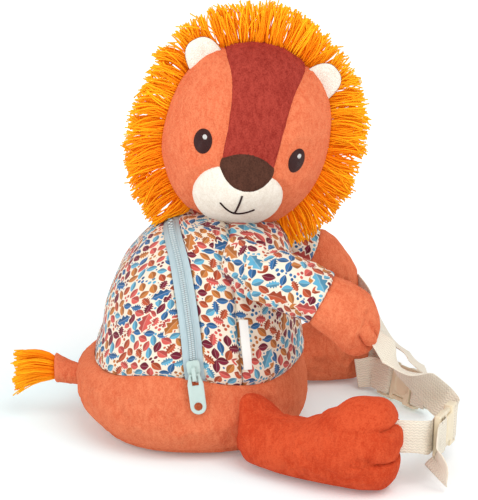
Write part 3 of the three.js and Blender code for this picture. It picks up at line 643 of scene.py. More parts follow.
def plush(name, colour, deep, patches=0.4):
    """Short-pile plush: fine tufts, brushed streaks and soft patches where the nap turns."""
    finish = Finish(name)
    place = finish.place()
    tufts = finish.grain(place, 1 / bpy.context.scene.lion_plush.pile)
    nap = finish.grain(place, 34, 3.0, 1.5)
    streaks = finish.grain(finish.stretched(place, (1, 1, 0.4), (0.5, 0.3, 0)), 330)
    share = (nap * patches + streaks * 0.7 + tufts * 0.9 + (0.375 - patches / 2)).between(0.82, 1.5)
    fixed = {
        "Sheen Weight": 0.35,
        "Sheen Roughness": 0.45,
        "Sheen Tint": opaque(colour),
        "Specular IOR Level": 0.15,
    }
    height = tufts * 0.7 + streaks * 0.5
    return finish.surface(finish.blend(share, deep, colour), 0.95, height, 0.0009, fixed)


def leaves(finish, across, along, salt, lean, size="small"):
    """One layer of printed leaves: where they lie, their colour and the bare ground around large ones."""
    shades = bpy.context.scene.lion_print
    pitch, long, longer, wide, lobed_from, lobe_count, berries_to = LEAVES[size]
    column, row, chance = finish.cells(across, along, shades.pitch * pitch, salt)
    swing, more, kind = finish.split(chance["Color"])
    x, y = column + more * 0.1 - 0.55, row + kind * 0.1 - 0.55
    turn = swing * LEAF_SWING + (lean - LEAF_SWING / 2)
    ahead, aside = turn.math("COSINE"), turn.math("SINE")
    p, q = x * ahead + y * aside, y * ahead - x * aside
    run = p / (more * longer + long)
    lobed = kind > lobed_from
    lobes = (run * lobe_count).math("COSINE") * lobed * 0.28 + 1
    depth = (1 - run * run) * (swing * 0.05 + wide) * lobes - abs(q)
    soft = 0.012 / pitch
    leaf = depth.between(-soft, soft)
    cluster = [(p - x0) ** 2 + (q - y0) ** 2 for x0, y0 in BERRIES]
    nearest = cluster[0].math("MINIMUM", cluster[1]).math("MINIMUM", cluster[2])
    berries = (0.0145 - nearest).between(-0.002, 0.002)
    fruit = kind < berries_to
    mask = leaf * lobed if size == "large" else leaf * (1 - fruit) + berries * fruit
    ground = depth.between(-0.06, -0.045) * lobed
    order = (shades.blue, shades.sky, shades.ochre, shades.rust, shades.rose, shades.wine)
    ink = finish.inked(chance["Value"], list(zip(LEAF_HUES, order)))
    shaded = finish.blend(q.between(-0.03, 0.05) * 0.7, ink, LEAF_SHADE, "MULTIPLY")
    rib = (1 - abs(q).between(0.004, 0.02)) * 0.22 * (1 - fruit)
    return mask, finish.blend(rib, shaded, shades.ground), ground


def printed_jersey(name):
    """Fine jersey printed with small leaves in two layers, seeds between them and a few large leaves."""
    shades = bpy.context.scene.lion_print
    finish = Finish(name)
    place = finish.place()
    across, along, _ = finish.flat()
    wander_a = (finish.grain(place, 26) - 0.5) * 0.006
    wander_b = (finish.grain(finish.stretched(place, (1, 1, -1)), 26) - 0.5) * 0.006
    across, along = across + wander_a + 1.0, along + wander_b + 1.0
    half = shades.pitch / 2
    first, first_ink, _ = leaves(finish, across, along, 1.0, 0.8)
    second, second_ink, _ = leaves(finish, across + half, along + half, 7.0, -0.8)
    large, large_ink, bare = leaves(finish, across + half, along, 19.0, 1.2, "large")
    column, row, seed = finish.cells(across + half, along, shades.pitch, 13.0)
    off_x, off_y = column - 0.5, row - 0.5
    size = Tone(finish, seed["Value"]) * 0.013 - 0.002
    seeds = (size - off_x * off_x - off_y * off_y).between(-0.001, 0.001)
    hues = [(0.0, shades.wine), (0.4, shades.blue), (0.6, shades.rust), (0.85, shades.sky)]
    seed_ink = finish.inked(finish.split(seed["Color"])[0], hues)
    colour = shades.ground
    for mask, ink in (
        (seeds, seed_ink),
        (first, first_ink),
        (second, second_ink),
        (bare, shades.ground),
        (large, large_ink),
    ):
        colour = finish.blend(mask, colour, ink)
    height = across.waves(0.0009) * along.waves(0.0012) * 0.4 + finish.grain(place, 700)
    return finish.surface(colour, 0.88, height, 0.00025, {"Sheen Weight": 0.1, "Specular IOR Level": 0.2})


def yarn(name):
    """Loose cotton yarn: each strand has a tone of its own, with painted shade towards its root, and a faint
    painted orange glow lifts its shade where light would come through it.
    """
    shades = bpy.context.scene.lion_yarn
    finish = Finish(name)
    tone, tip = (
        Tone(finish, finish.node("ShaderNodeAttribute", {"attribute_name": key}).outputs["Fac"])
        for key in ("tone", "tip")
    )
    fibre = finish.grain(finish.place(), 1500)
    # Painted shade: strands darken towards their roots, where they crowd against the head.
    share = (tone * 0.7 + tip * 0.35 + fibre * 0.3 - 0.15).between(0.1, 0.9)
    # Painted glow: a faint orange emission lifts the shade between strands, in place of light coming through
    # the yarn.
    fixed = {"Specular IOR Level": 0.15, "Emission Color": opaque(shades.deep), "Emission Strength": 0.1}
    return finish.surface(finish.blend(share, shades.deep, shades.light), 0.85, fibre, 0.0004, fixed)


def zip_tape(name, colour):
    """Closely woven tape with ribs across it."""
    finish = Finish(name)
    across, along, _ = finish.flat()
    weave = along.waves(0.0011) * across.waves(0.0009) * 0.5 + 0.5
    wear = finish.grain(finish.place(), 120)
    return finish.toned(colour, 0.78, weave * 0.5 + wear * 0.5, 0.7, weave, 0.00022)


def enamel(name, colour):
    """Thick glossy enamel on cast metal, a little uneven."""
    finish = Finish(name)
    flow = finish.grain(finish.place(), 260)
    return finish.toned(colour, 0.9, flow, flow * 0.1 + 0.24, flow, 0.00012, {"Coat Weight": 0.4})


def webbing(name, colour):
    """Cotton webbing in a herringbone weave."""
    finish = Finish(name)
    across, along, _ = finish.flat()
    zigzag = abs((along / 0.0036).math("FRACT") - 0.5) * 1.1
    rows = (across / 0.0021 + zigzag).waves(1) * 0.5 + 0.5
    fibre = finish.grain(finish.place(), 1400)
    share = (rows * 0.75 + fibre * 0.35).between(0.0, 0.6)
    return finish.toned(colour, 0.8, share, 0.9, rows + fibre * 0.4, 0.0003, {"Sheen Weight": 0.15})


def satin(name, colour):
    """Moulded satin plastic with a fine grain."""
    finish = Finish(name)
    grain = finish.grain(finish.place(), 2200)
    return finish.toned(colour, 0.88, finish.grain(finish.place(), 90), grain * 0.2 + 0.32, grain, 0.00008)


def label_cloth(name, colour):
    """Smooth woven tape, left plain."""
    finish = Finish(name)
    across, along, _ = finish.flat()
    weave = along.waves(0.0008) * across.waves(0.0008) * 0.5 + 0.5
    return finish.toned(colour, 0.88, weave, 0.6, weave, 0.0001)


def stitched_thread(name, colour):
    """Satin stitch: shiny threads lying side by side."""
    finish = Finish(name)
    along = finish.flat()[1]
    jitter = finish.grain(finish.place(), 400) * 0.6
    threads = (along / 0.00062 + jitter).waves(1) * 0.5 + 0.5
    return finish.toned(colour, 0.5, threads, 0.5, threads, 0.0003, {"Specular IOR Level": 0.3})


def finish_of(slot):
    """The finish of a slot, made when it is first asked for."""
    name = f"{slot}_finish"
    made = bpy.data.materials.get(name)
    if made:
        return made
    shades, trim = bpy.context.scene.lion_plush, bpy.context.scene.lion_trim
    makers = {
        "coral_plush": (plush, shades.coral, shades.coral_deep),
        "dark_red_plush": (plush, shades.red, shades.red_deep),
        "cream_plush": (plush, shades.cream, shades.cream_deep),
        "brown_plush": (plush, shades.brown, shades.brown_deep),
        # Painted shade: the near leg's darker copy of the coral plush, with stronger patches.
        "near_leg": (plush, shades.leg, shades.leg_deep, 0.9),
        "printed_jersey": (printed_jersey,),
        "yarn": (yarn,),
        "zip_tape": (zip_tape, trim.tape),
        "zip_teeth": (satin, trim.teeth),
        "enamel": (enamel, trim.enamel),
        "webbing": (webbing, trim.webbing),
        "buckle_plastic": (satin, trim.buckle),
        "label_cloth": (label_cloth, trim.label),
        "brown_thread": (stitched_thread, trim.thread),
        "glint_thread": (stitched_thread, trim.glint),
    }
    maker, *colours = makers[slot]
    return maker(name, *colours)


def lerp(low, high, share):
    """The number a share of the way between two."""
    return low + (high - low) * share


def ramp(value, low, high):
    """0 up to low, 1 from high on and an even slope between them."""
    return min(max((value - low) / (high - low), 0), 1)


def bell(value, middle, width):
    """A smooth hump, 1 at its middle and a third of that a width away."""
    return math.exp(-(((value - middle) / width) ** 2))


def pinch(value, middle, width):
    """A sharp fold, 1 at its middle and a third of that a width away."""
    return math.exp(-abs(value - middle) / width)


def off_turn(turn, middle):
    """Angle from one turn to another, the short way round."""
    return math.remainder(turn - middle, TURN)


def drift(x, y, z):
    """Smooth noise at a place."""
    return noise.noise(Vector((x, y, z)))


def cubic(low, high, first, last, share):
    """A number or point between two, on a curve with given slopes at its ends."""
    gap = high - low
    return low + first * share + (gap * 3 - first * 2 - last) * share**2 + (first + last - gap * 2) * share**3


def smooth(rows, at):
    """A table's columns at a value of its first one, on a smooth curve through its rows."""
    at = min(max(at, rows[0][0]), rows[-1][0])
    upper = next(k for k in range(1, len(rows)) if at <= rows[k][0])
    low, high = rows[upper - 1], rows[upper]
    before, after = rows[max(upper - 2, 0)], rows[min(upper + 1, len(rows) - 1)]
    span = high[0] - low[0]
    share = (at - low[0]) / span
    values = []
    for column in range(1, len(low)):
        first = (high[column] - before[column]) / (high[0] - before[0]) * span
        last = (after[column] - low[column]) / (after[0] - low[0]) * span
        values.append(cubic(low[column], high[column], first, last, share))
    return values


def measured(rows, columns):
    """Rows with the distance run from the first put in front, measured over their first columns."""
    runs = [0.0]
    for low, high in zip(rows, rows[1:]):
        runs.append(runs[-1] + math.dist(low[:columns], high[:columns]))
    return tuple((run, *row) for run, row in zip(runs, rows))


BODY = measured(BODY_ROWS, 2)
BODY_LONG = BODY[-1][0]


def rounded(part):
    """A circle's sine or cosine, squared off a little."""
    return math.copysign(abs(part) ** (2 / BODY_ROUNDING), part)


def body_skin(run, turn):
    """Point of the bag's outside at a run up its profile and a turn round it."""
    z, side, front, back = smooth(BODY, run)
    y = (back - front) / 2 + (front + back) / 2 * rounded(math.sin(turn))
    return Vector((side * rounded(math.cos(turn)), y, z))


def body_out(run, turn):
    """Outward direction of the bag there."""
    run = min(run, BODY_LONG - 1)
    upward = body_skin(run + 0.6, turn) - body_skin(run - 0.6, turn)
    round_it = body_skin(run, turn + 0.02) - body_skin(run, turn - 0.02)
    return round_it.cross(upward).normalized()


def body_run(z):
    """Run up the bag's profile to a height."""
    low, high = 0.0, BODY_LONG
    for _ in range(24):
        middle = (low + high) / 2
        if smooth(BODY, middle)[0] < z:
            low = middle
        else:
            high = middle
    return low


BOTTOM_RUN = body_run(BOTTOM_SEAM)
BASE_RUN = body_run(BASE_SEAM)


def body_turn(y, run, side):
    """Turn round the bag to a distance back, on its right (-1) or left (1) side."""
    _, _, front, back = smooth(BODY, run)
    deep = max((front + back) / 2, 1e-3)
    part = min(max((y - (back - front) / 2) / deep, -1), 1)
    turn = math.asin(math.copysign(abs(part) ** (BODY_ROUNDING / 2), part))
    return turn if side > 0 else math.pi - turn


def right_side(y, z):
    """Point and outward direction of the bag's right side."""
    run = body_run(z)
    turn = body_turn(y, run, -1)
    return body_skin(run, turn), body_out(run, turn)


def clear_of_body(point, gap):
    """A point moved out of the bag if it lies inside it."""
    for _ in range(60):
        if point.z > BODY_ROWS[-1][0]:
            return point
        _, side, front, back = smooth(BODY, body_run(point.z))
        across = point.x / (side + gap)
        along = (point.y - (back - front) / 2) / ((front + back) / 2 + gap)
        if abs(across) ** BODY_ROUNDING + abs(along) ** BODY_ROUNDING >= 1:
            return point
        point = point + (point - BODY_MIDDLE).normalized()
    return point


def seam_dip(distance, along):
    """How far cloth is drawn in beside a seam, with the puckers that its stitches pull."""
    pucker = drift(along / PUCKER_LONG, 3.1, 0.7) * math.exp(-distance / PUCKER_REACH)
    return SEAM_DEEP * math.exp(-distance / SEAM_REACH) + PUCKER_DEEP * pucker


def ripple(point, size, height, salt=0.0):
    """Soft unevenness of stuffed cloth."""
    return height * noise.noise(point / size + Vector((salt, salt, salt)))


def uneven(point, kind):
    """All the unevenness of one kind of piece."""
    return sum(ripple(point, *row) for row in RIPPLES[kind])


def soften(sheet):
    """Shade a sheet's faces as one smooth skin."""
    for face in sheet.faces:
        face.smooth = True


def woven(grid, place):
    """A sheet laid out by a function of two shares from 0 to 1; its UVs keep its flat sizes, in metres."""
    columns, rows = grid
    sheet = bmesh.new()
    bmesh.ops.create_grid(sheet, x_segments=columns, y_segments=rows, size=0.5)
    flat = sheet.loops.layers.uv.new("flat")
    soften(sheet)
    shares = {}
    for vert in sheet.verts:
        shares[vert] = (round((vert.co.x + 0.5) * columns), round((vert.co.y + 0.5) * rows))
    spots = {(i, j): place(i / columns, j / rows) * MM for i, j in shares.values()}
    middle = columns // 2
    heights = [0.0]
    for j in range(rows):
        heights.append(heights[-1] + (spots[middle, j + 1] - spots[middle, j]).length)
    widths = {}
    for j in range(rows + 1):
        widths[middle, j] = 0.0
        for way, stop in ((1, columns), (-1, 0)):
            for i in range(middle, stop, way):
                widths[i + way, j] = widths[i, j] + way * (spots[i + way, j] - spots[i, j]).length
    for face in sheet.faces:
        for loop in face.loops:
            i, j = shares[loop.vert]
            loop[flat].uv = (widths[i, j], heights[j])
    for vert, share in shares.items():
        vert.co = spots[share]
    bmesh.ops.remove_doubles(sheet, verts=sheet.verts, dist=1e-6)
    return sheet


def as_mesh(sheet, name):
    """A sheet as a named mesh."""
    mesh = bpy.data.meshes.new(name)
    sheet.to_mesh(mesh)
    sheet.free()
    return mesh


def linked(name, data):
    """An object of the scene, at the origin."""
    made = bpy.data.objects.new(name, data)
    bpy.context.scene.collection.objects.link(made)
    return made


def joined(*sheets):
    """Several sheets as one."""
    whole = bmesh.new()
    for sheet in sheets:
        part = as_mesh(sheet, "part")
        whole.from_mesh(part)
        bpy.data.meshes.remove(part)
    return whole


def piece(sheet, name, slot, inside=None, **riding):
    """A finished piece whose mesh faces away from a point inside it."""
    if inside is None:
        bmesh.ops.recalc_face_normals(sheet, faces=sheet.faces)
    else:
        sheet.normal_update()
        outward = 0.0
        for face in sheet.faces:
            outward += (face.calc_center_median() - inside * MM).dot(face.normal) * face.calc_area()
        if outward < 0:
            bmesh.ops.reverse_faces(sheet, faces=sheet.faces)
    return placed(as_mesh(sheet, name), name, slot, **riding)


def placed(mesh, name, slot, body="bag", finish=None, extra=False):
    """An object for a mesh, riding on its body; unless it is an extra, it stands for the node of its name."""
    made = linked(f"{name}_{slot}", mesh)
    mesh.materials.append(finish_of(finish or slot))
    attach(made, body)
    if not extra:
        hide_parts(name)
    return made


def eased(distance, reach):
    """1 up to a distance of 0 from what holds the cloth, then easing off to nothing."""
    return math.exp(-((max(distance, 0) / reach) ** 2))


def stuffed(made, held, cap=SWELL):
    """A padded piece whose stuffing has pressed its cloth out, except where a share says that it is held."""
    press_out(made, held, cap * MM)
    return made


def press_out(made, held, cap):
    """Let slack cloth swell under pressure, keep the piece's size and move no point further than a cap."""
    scene = bpy.context.scene
    mesh = made.data.copy()
    skin = linked("skin", mesh)
    shares = [held(vert.co / MM) for vert in mesh.vertices]
    sewn = skin.vertex_groups.new(name="sewn")
    for k, share in enumerate(shares):
        sewn.add([k], share, "REPLACE")
    cloth = skin.modifiers.new("stuffing", "CLOTH").settings
    cloth.quality = CLOTH_QUALITY
    cloth.mass = CLOTH_MASS
    cloth.bending_stiffness = CLOTH_BENDING
    cloth.shrink_min = -CLOTH_SLACK
    cloth.use_pressure = True
    cloth.uniform_pressure_force = CLOTH_PRESSURE
    cloth.effector_weights.gravity = 0
    cloth.vertex_group_mass = sewn.name
    for number in range(1, CLOTH_FRAMES + 1):
        scene.frame_set(number)
    swollen = skin.evaluated_get(bpy.context.evaluated_depsgraph_get()).data.vertices
    moves = [after.co - before.co for before, after in zip(mesh.vertices, swollen)]
    free = sum(1 - share for share in shares)
    rows = list(zip(mesh.vertices, moves, shares))
    mean = sum(move.dot(vert.normal) * (1 - share) for vert, move, share in rows) / free
    for vert, move, share in rows:
        move = (move - vert.normal * mean) * (1 - share)
        made.data.vertices[vert.index].co = vert.co + move * min(1, cap / max(move.length, 1e-9))
    scene.frame_set(1)
    bpy.data.objects.remove(skin)
    bpy.data.meshes.remove(mesh)


def panel_settings(layout, group):
    """Every setting of a group, one under another."""
    for key in group.__class__.__annotations__:
        layout.prop(group, key)


def facing(made, place, aim):
    """Stand a lamp or the camera at a place, looking at another."""
    made.location = place
    made.rotation_euler = (Vector(aim) - Vector(place)).to_track_quat("-Z", "Y").to_euler()
    return made


class LION_OT_stage(bpy.types.Operator):
    """Make the floor, the light and the camera"""

    bl_idname = "lion.stage"
    bl_label = "Stage"

    def execute(self, context):
        scene, shades = context.scene, context.scene.lion_stage
        sheet = bmesh.new()
        bmesh.ops.create_grid(sheet, x_segments=4, y_segments=4, size=FLOOR_HALF)
        floor = linked("floor", as_mesh(sheet, "floor"))
        finish = Finish("floor")
        speckle = finish.grain(finish.place(), 60)
        x, y, _ = finish.split(finish.place())
        out = x * x + y * y
        # Painted tint: the floor beside the lion is tinted cyan to cancel the warm light that the lion throws
        # back.
        near = 1 - out.between(*BOUNCE_TINT_ENDS)
        colour = finish.blend(near * 0.9 + speckle * 0.1, shades.floor, shades.shade)
        glow = finish.blend(out.between(*GLOW_GROWS), GLOW_LEAST, GLOW_MOST)
        fixed = {"Emission Color": glow, "Emission Strength": 1.0, "Specular IOR Level": 0.0}
        floor.data.materials.append(finish.surface(colour, 0.9, speckle, 0.0001, fixed))
        scene.world = bpy.data.worlds.new("studio")
        scene.world.use_nodes = True
        daylight = scene.world.node_tree.nodes["Background"].inputs
        daylight["Strength"].default_value = shades.daylight
        daylight["Color"].default_value = (1, 1, 1, 1)
        for name, (place, size) in LAMPS.items():
            lamp = bpy.data.lights.new(name, "AREA")
            lamp.size = size
            lamp.energy = getattr(shades, name)
            facing(linked(name, lamp), place, LAMP_AIM)
        camera = bpy.data.cameras.new("camera")
        camera.lens = shades.lens
        camera.sensor_width = 36
        scene.camera = facing(linked("camera", camera), shades.eye, shades.aim)
        scene.view_settings.view_transform = "Standard"
        return {"FINISHED"}


def base_seam(turn):
    """Run up the bag to the seam between base and printed cloth, which rises on the flanks behind the zip."""
    flank = abs(off_turn(turn, math.pi / 2))
    return BASE_RUN + sum(rise * bell(flank, middle, reach) for middle, reach, rise in SEAM_WAVES)


def draped(point, run):
    """Loose fall of the printed cloth, which blouses over the base."""
    tall = Vector((point.x, point.y, point.z * 0.45))
    return 1.4 * bell(run, 9, 7) + ripple(tall, *DRAPE) + ripple(point, *CRUMPLE)


def bag_cloth(first, last, grid, base=False):
    """A panel of the bag's printed cloth or base between two turns round it, drawn in at its seams."""

    def place(u, v):
        seam = base_seam(lerp(first(BASE_RUN), last(BASE_RUN), u))
        low, high = (BOTTOM_RUN, seam) if base else (seam, BODY_LONG)
        run = lerp(low, high, v)
        start, end = first(run), last(run)
        turn = lerp(start, end, u)
        point, out = body_skin(run, turn), body_out(run, turn)
        dip = seam_dip(run - low, turn * BODY_REACH)
        if base:
            rise = uneven(point, "base")
            dip += seam_dip(high - run, turn * BODY_REACH + 40)
        else:
            rise = draped(point, run - low)
            wide = abs(end - start) * point.xy.length
            dip += SIDE_SEAM_PULL * (seam_dip(u * wide, run) + seam_dip((1 - u) * wide, run + 50))
        return point + out * (rise - dip)

    return woven(grid, place)


class LION_OT_bag(bpy.types.Operator):
    """Make the bag: its bottom, puffed base and printed cloth"""

    bl_idname = "lion.bag"
    bl_label = "Bag"

    def execute(self, context):
        base = bag_cloth(lambda run: 0, lambda run: TURN, GRIDS["base"], True)
        made = piece(base, "base_side", "coral_plush", BODY_MIDDLE)

        def seams(point):
            return eased(point.z - BOTTOM_SEAM - 2, 4) + eased(BASE_SEAM - 4 - point.z, 4)

        stuffed(made, seams)

        def under(u, v):
            run = BOTTOM_RUN * (v * 2 - 1) if v > 0.5 else 0.0
            point = body_skin(run, TURN * u)
            dip = body_out(max(run, 0.7), TURN * u) * seam_dip(BOTTOM_RUN - run, u * 500)
            return point - dip if v > 0.5 else point * (v * 2)

        piece(woven(GRIDS["bottom"], under), "bottom_panel", "coral_plush", BODY_MIDDLE)

        def edge(rows, side, off=0.0):
            return lambda run: body_turn(smooth(rows, smooth(BODY, run)[0])[0] + off, run, side)

        right, left = edge(SEAM_ROWS, -1), edge(SEAM_ROWS, 1)
        slot = TAPE_HALF - 0.6
        front = bag_cloth(right, lambda run: left(run) + TURN, GRIDS["shirt_front"])
        piece(front, "shirt_front", "printed_jersey", BODY_MIDDLE)
        back = bag_cloth(left, edge(ZIP_ROWS, -1, slot), GRIDS["shirt_back"])
        strip = bag_cloth(edge(ZIP_ROWS, -1, -slot), right, GRIDS["shirt_strip"])
        piece(joined(back, strip), "shirt_back", "printed_jersey", BODY_MIDDLE)
        return {"FINISHED"}


def bevelled(name, slot, body="bag"):
    """A moulded piece: its node's shape with the edges rounded."""
    sheet = bmesh.new()
    sheet.from_mesh(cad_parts[name].data)
    bmesh.ops.remove_doubles(sheet, verts=sheet.verts, dist=1e-6)
    bmesh.ops.dissolve_limit(sheet, angle_limit=math.radians(2), verts=sheet.verts, edges=sheet.edges)
    inner = [edge for edge in sheet.edges if len(edge.link_faces) == 2]
    bmesh.ops.bevel(
        sheet,
        geom=[edge for edge in inner if edge.calc_face_angle() > math.radians(32)],
        offset=MOULDED_EDGE * MM,
        offset_type="OFFSET",
        segments=3,
        profile=0.5,
        affect="EDGES",
        clamp_overlap=True,
        material=-1,
    )
    soften(sheet)
    made = piece(sheet, name, slot, body=body)
    made.data.set_sharp_from_angle(angle=math.radians(40))
    return made


class LION_OT_zip(bpy.types.Operator):
    """Make the zip: tapes, teeth, slider and pull"""

    bl_idname = "lion.zip"
    bl_label = "Zip"

    def execute(self, context):
        for name, side in (("front", -1), ("back", 1)):

            def place(u, v, side=side):
                off = lerp(0.1, TAPE_HALF + 0.7, u)
                rise = 1.1 * bell(off, 3.1, 0.7) - 0.5 - 3 * math.exp(-v / 0.012)
                return self.on_zip(lerp(BASE_SEAM + 3, ZIP_TOP, v), side * off, rise)

            piece(woven(GRIDS["zip_tape"], place), f"zip_tape_{name}", "zip_tape", BODY_MIDDLE)
        whole = bmesh.new()
        low = body_run(BASE_SEAM + 4)
        for k in range(int((body_run(ZIP_TOP) - low) / TOOTH_PITCH)):
            for side in (-1, 1):
                z = smooth(BODY, low + (k + 0.25 * side) * TOOTH_PITCH)[0]
                out = right_side(smooth(ZIP_ROWS, z)[0], z)[1]
                upward = self.on_zip(z + 1, 0, 0) - self.on_zip(z - 1, 0, 0)
                across = upward.cross(out).normalized()
                turn = Matrix((across, out.cross(across), out)).transposed().to_4x4()
                spot = Matrix.Translation(self.on_zip(z, side * 1.05, 0.25))
                matrix = Matrix.Scale(MM, 4) @ spot @ turn @ Matrix.Diagonal((*TOOTH_HALF, 1))
                bmesh.ops.create_uvsphere(whole, u_segments=8, v_segments=5, radius=1, matrix=matrix)
        soften(whole)
        whole.loops.layers.uv.new("flat")
        piece(whole, "zip_coil", "zip_tape", finish="zip_teeth")
        bevelled("zip_slider", "enamel")
        bevelled("zip_pull", "enamel", "pull")
        return {"FINISHED"}

    @staticmethod
    def on_zip(z, off, rise):
        """Point beside the zip's line at a height, raised off the bag."""
        point, out = right_side(smooth(ZIP_ROWS, z)[0] + off, z)
        return point + out * rise


class LION_OT_label(bpy.types.Operator):
    """Make the folded label in the side seam"""

    bl_idname = "lion.label"
    bl_label = "Label"

    def execute(self, context):
        def place(u, v):
            z = LABEL_LOW + LABEL_LONG * v
            point, out = right_side(smooth(SEAM_ROWS, z)[0] - 0.6, z)
            forward = (Vector((0, -1, 0)) + out * out.y).normalized()
            turn = math.pi * (u - 0.5)
            reach = LABEL_WIDE * (1 - 0.12 * (1 - v)) * rounded(math.cos(turn))
            lift = 0.35 * math.sin(turn) + 0.9 + reach * 0.16 + 0.6 * math.sin(v * 5) * reach / LABEL_WIDE
            return point + forward * reach + out * lift

        piece(woven(GRIDS["label"], place), "side_label", "label_cloth")
        return {"FINISHED"}


HEAD_MATRIX = Matrix.Translation(HEAD_CENTRE) @ (
    Matrix.Rotation(math.radians(HEAD_TURN[2]), 4, "Z")
    @ Matrix.Rotation(math.radians(HEAD_TURN[1]), 4, "Y")
    @ Matrix.Rotation(math.radians(HEAD_TURN[0]), 4, "X")
)


def head_reach(turn):
    """Reach of the head's outline at an angle from its top, in radians."""
    return smooth(HEAD_ROWS, abs(math.degrees(off_turn(turn, 0))))[0]


def head_skin(lean, turn, rise=0.0):
    """Point of the unturned head, leaning from the face's middle and turned round it, raised off the skin."""
    reach, ahead = head_reach(turn), math.cos(lean)
    x, z = reach * math.sin(lean) * math.sin(turn), reach * math.sin(lean) * math.cos(turn)
    deep = HEAD_FRONT if ahead > 0 else HEAD_BACK
    bump = BUMP_OUT * bell(x, 0, BUMP_WIDE) * bell(z, BUMP_HEIGHT, BUMP_HIGH) * max(ahead, 0)
    y = -deep * ahead
    out = Vector((x / reach**2, y / deep**2, z / reach**2)).normalized()
    return Vector((x, y - bump, z)) + out * rise


def face_skin(x, z, rise=0.0):
    """Point of the unturned head's front seen at a place across and up."""
    turn = math.atan2(x, z)
    return head_skin(math.asin(min(math.hypot(x, z) / head_reach(turn), 1)), turn, rise)


def panel_depth(x, z):
    """How far a place lies inside the outline of the nearest sewn-in face panel; negative is outside."""
    depths = []
    for rows in (FOREHEAD_ROWS, MUZZLE_ROWS, NOSE_ROWS):
        low, high = rows[0][0], rows[-1][0]
        depths.append(min(smooth(rows, z)[0] - abs(x), z - low, high + 20 * (rows is FOREHEAD_ROWS) - z))
    return max(depths)


def face_panel(rows, grid, puff):
    """A sewn-in panel of the face: crowned cloth whose edge dives into the seam."""
    low, high = rows[0][0], rows[-1][0]
    levels = [lerp(low, high, k / 120) for k in range(121)]
    outline = [(side * smooth(rows, z)[0], z) for z in levels for side in (-1, 1)]

    def place(u, v):
        if rows is FOREHEAD_ROWS:
            z = high * math.sin(lerp(math.asin(low / high), math.pi / 2, v))
        else:
            z = lerp(low, high, (1 - math.cos(math.pi * v)) / 2)
        x = smooth(rows, z)[0] * math.sin(math.pi * (u - 0.5))
        edge = min(math.dist((x, z), spot) for spot in outline)
        rise = puff - (puff + PANEL_DIVE) * math.exp(-edge / PANEL_EDGE)
        dent = Vector((0, -ripple(Vector((x, z, 0)), 14, 0.35), 0))
        return HEAD_MATRIX @ (face_skin(x, z, rise) + dent)

    return woven(grid, place)


class LION_OT_head(bpy.types.Operator):
    """Make the stuffed head and its sewn-in face panels"""

    bl_idname = "lion.head"
    bl_label = "Head"

    def execute(self, context):
        def place(u, v):
            lean, turn = math.pi * v, TURN * u
            point = head_skin(lean, turn)
            seam = HEAD_SEAM_DEEP * bell(math.degrees(lean), HEAD_SEAM_LEAN, HEAD_SEAM_WIDE)
            rise = uneven(point, "head") - seam
            if lean < math.pi / 2:
                depth = panel_depth(point.x, point.z)
                rise -= PANEL_SUNK / (1 + math.exp(-(depth + 1.2) / 0.7))
            return HEAD_MATRIX @ head_skin(lean, turn, rise)

        turned = HEAD_MATRIX.inverted()

        def sewn(point):
            spot = turned @ point
            if spot.y > 0:
                return eased(spot.y - 3, 5)
            eye = math.hypot((abs(spot.x) - EYE_APART) / EYE_WIDE, spot.z / EYE_HIGH)
            panel = panel_depth(spot.x, spot.z)
            return max(eased(-3 - spot.y, 5), eased(eye - 1.4, 0.9), eased(-3 - panel, 5))

        made = piece(woven(GRIDS["head"], place), "head", "coral_plush")
        stuffed(made, sewn, HEAD_SWELL)
        for name, slot, rows, puff in (
            ("forehead_panel", "dark_red_plush", FOREHEAD_ROWS, 0.5),
            ("muzzle", "cream_plush", MUZZLE_ROWS, 0.5),
            ("nose", "brown_plush", NOSE_ROWS, 1.5),
        ):
            piece(face_panel(rows, GRIDS[name], puff), name, slot, HEAD_CENTRE)
        return {"FINISHED"}


class LION_OT_face(bpy.types.Operator):
    """Stitch the eyes and the mouth"""

    bl_idname = "lion.face"
    bl_label = "Face"

    def execute(self, context):
        for name, side in SIDES.items():
            x = side * EYE_APART
            patch = self.oval(x, 0, EYE_WIDE, EYE_HIGH, EYE_RISE, GRIDS["eye"])
            piece(patch, f"eye_{name}", "brown_thread", HEAD_CENTRE)
            spot = self.oval(x + GLINT_OFF, GLINT_UP, GLINT_WIDE, GLINT_HIGH, GLINT_RISE, GRIDS["glint"])
            piece(spot, f"eye_glint_{name}", "brown_thread", HEAD_CENTRE, finish="glint_thread", extra=True)
        smile = []
        for x in range(-SMILE_HALF, SMILE_HALF + 1):
            share = abs(x) / SMILE_HALF
            smile.append((x, SMILE_HEIGHT - SMILE_DEEP * math.cos(share * math.pi / 2) + 0.8 * share))
        drop = [(0, MOUTH_TOP - k) for k in range(MOUTH_LONG + 1)]
        lines = [[HEAD_MATRIX @ face_skin(x, z, MOUTH_THICK / 2) for x, z in line] for line in (smile, drop)]
        placed(tubes("mouth", lines, MOUTH_THICK, 8), "mouth", "brown_thread", extra=True)
        return {"FINISHED"}

    @staticmethod
    def oval(x, z, wide, high, rise, grid):
        """A padded oval of satin stitch on the face."""

        def place(u, v):
            across, up = x + wide * v * math.sin(TURN * u), z + high * v * math.cos(TURN * u)
            lift = rise * math.sqrt(max(1 - (v * 0.97) ** 2, 0)) + uneven(face_skin(across, up), "head")
            return HEAD_MATRIX @ face_skin(across, up, lift)

        return woven(grid, place)


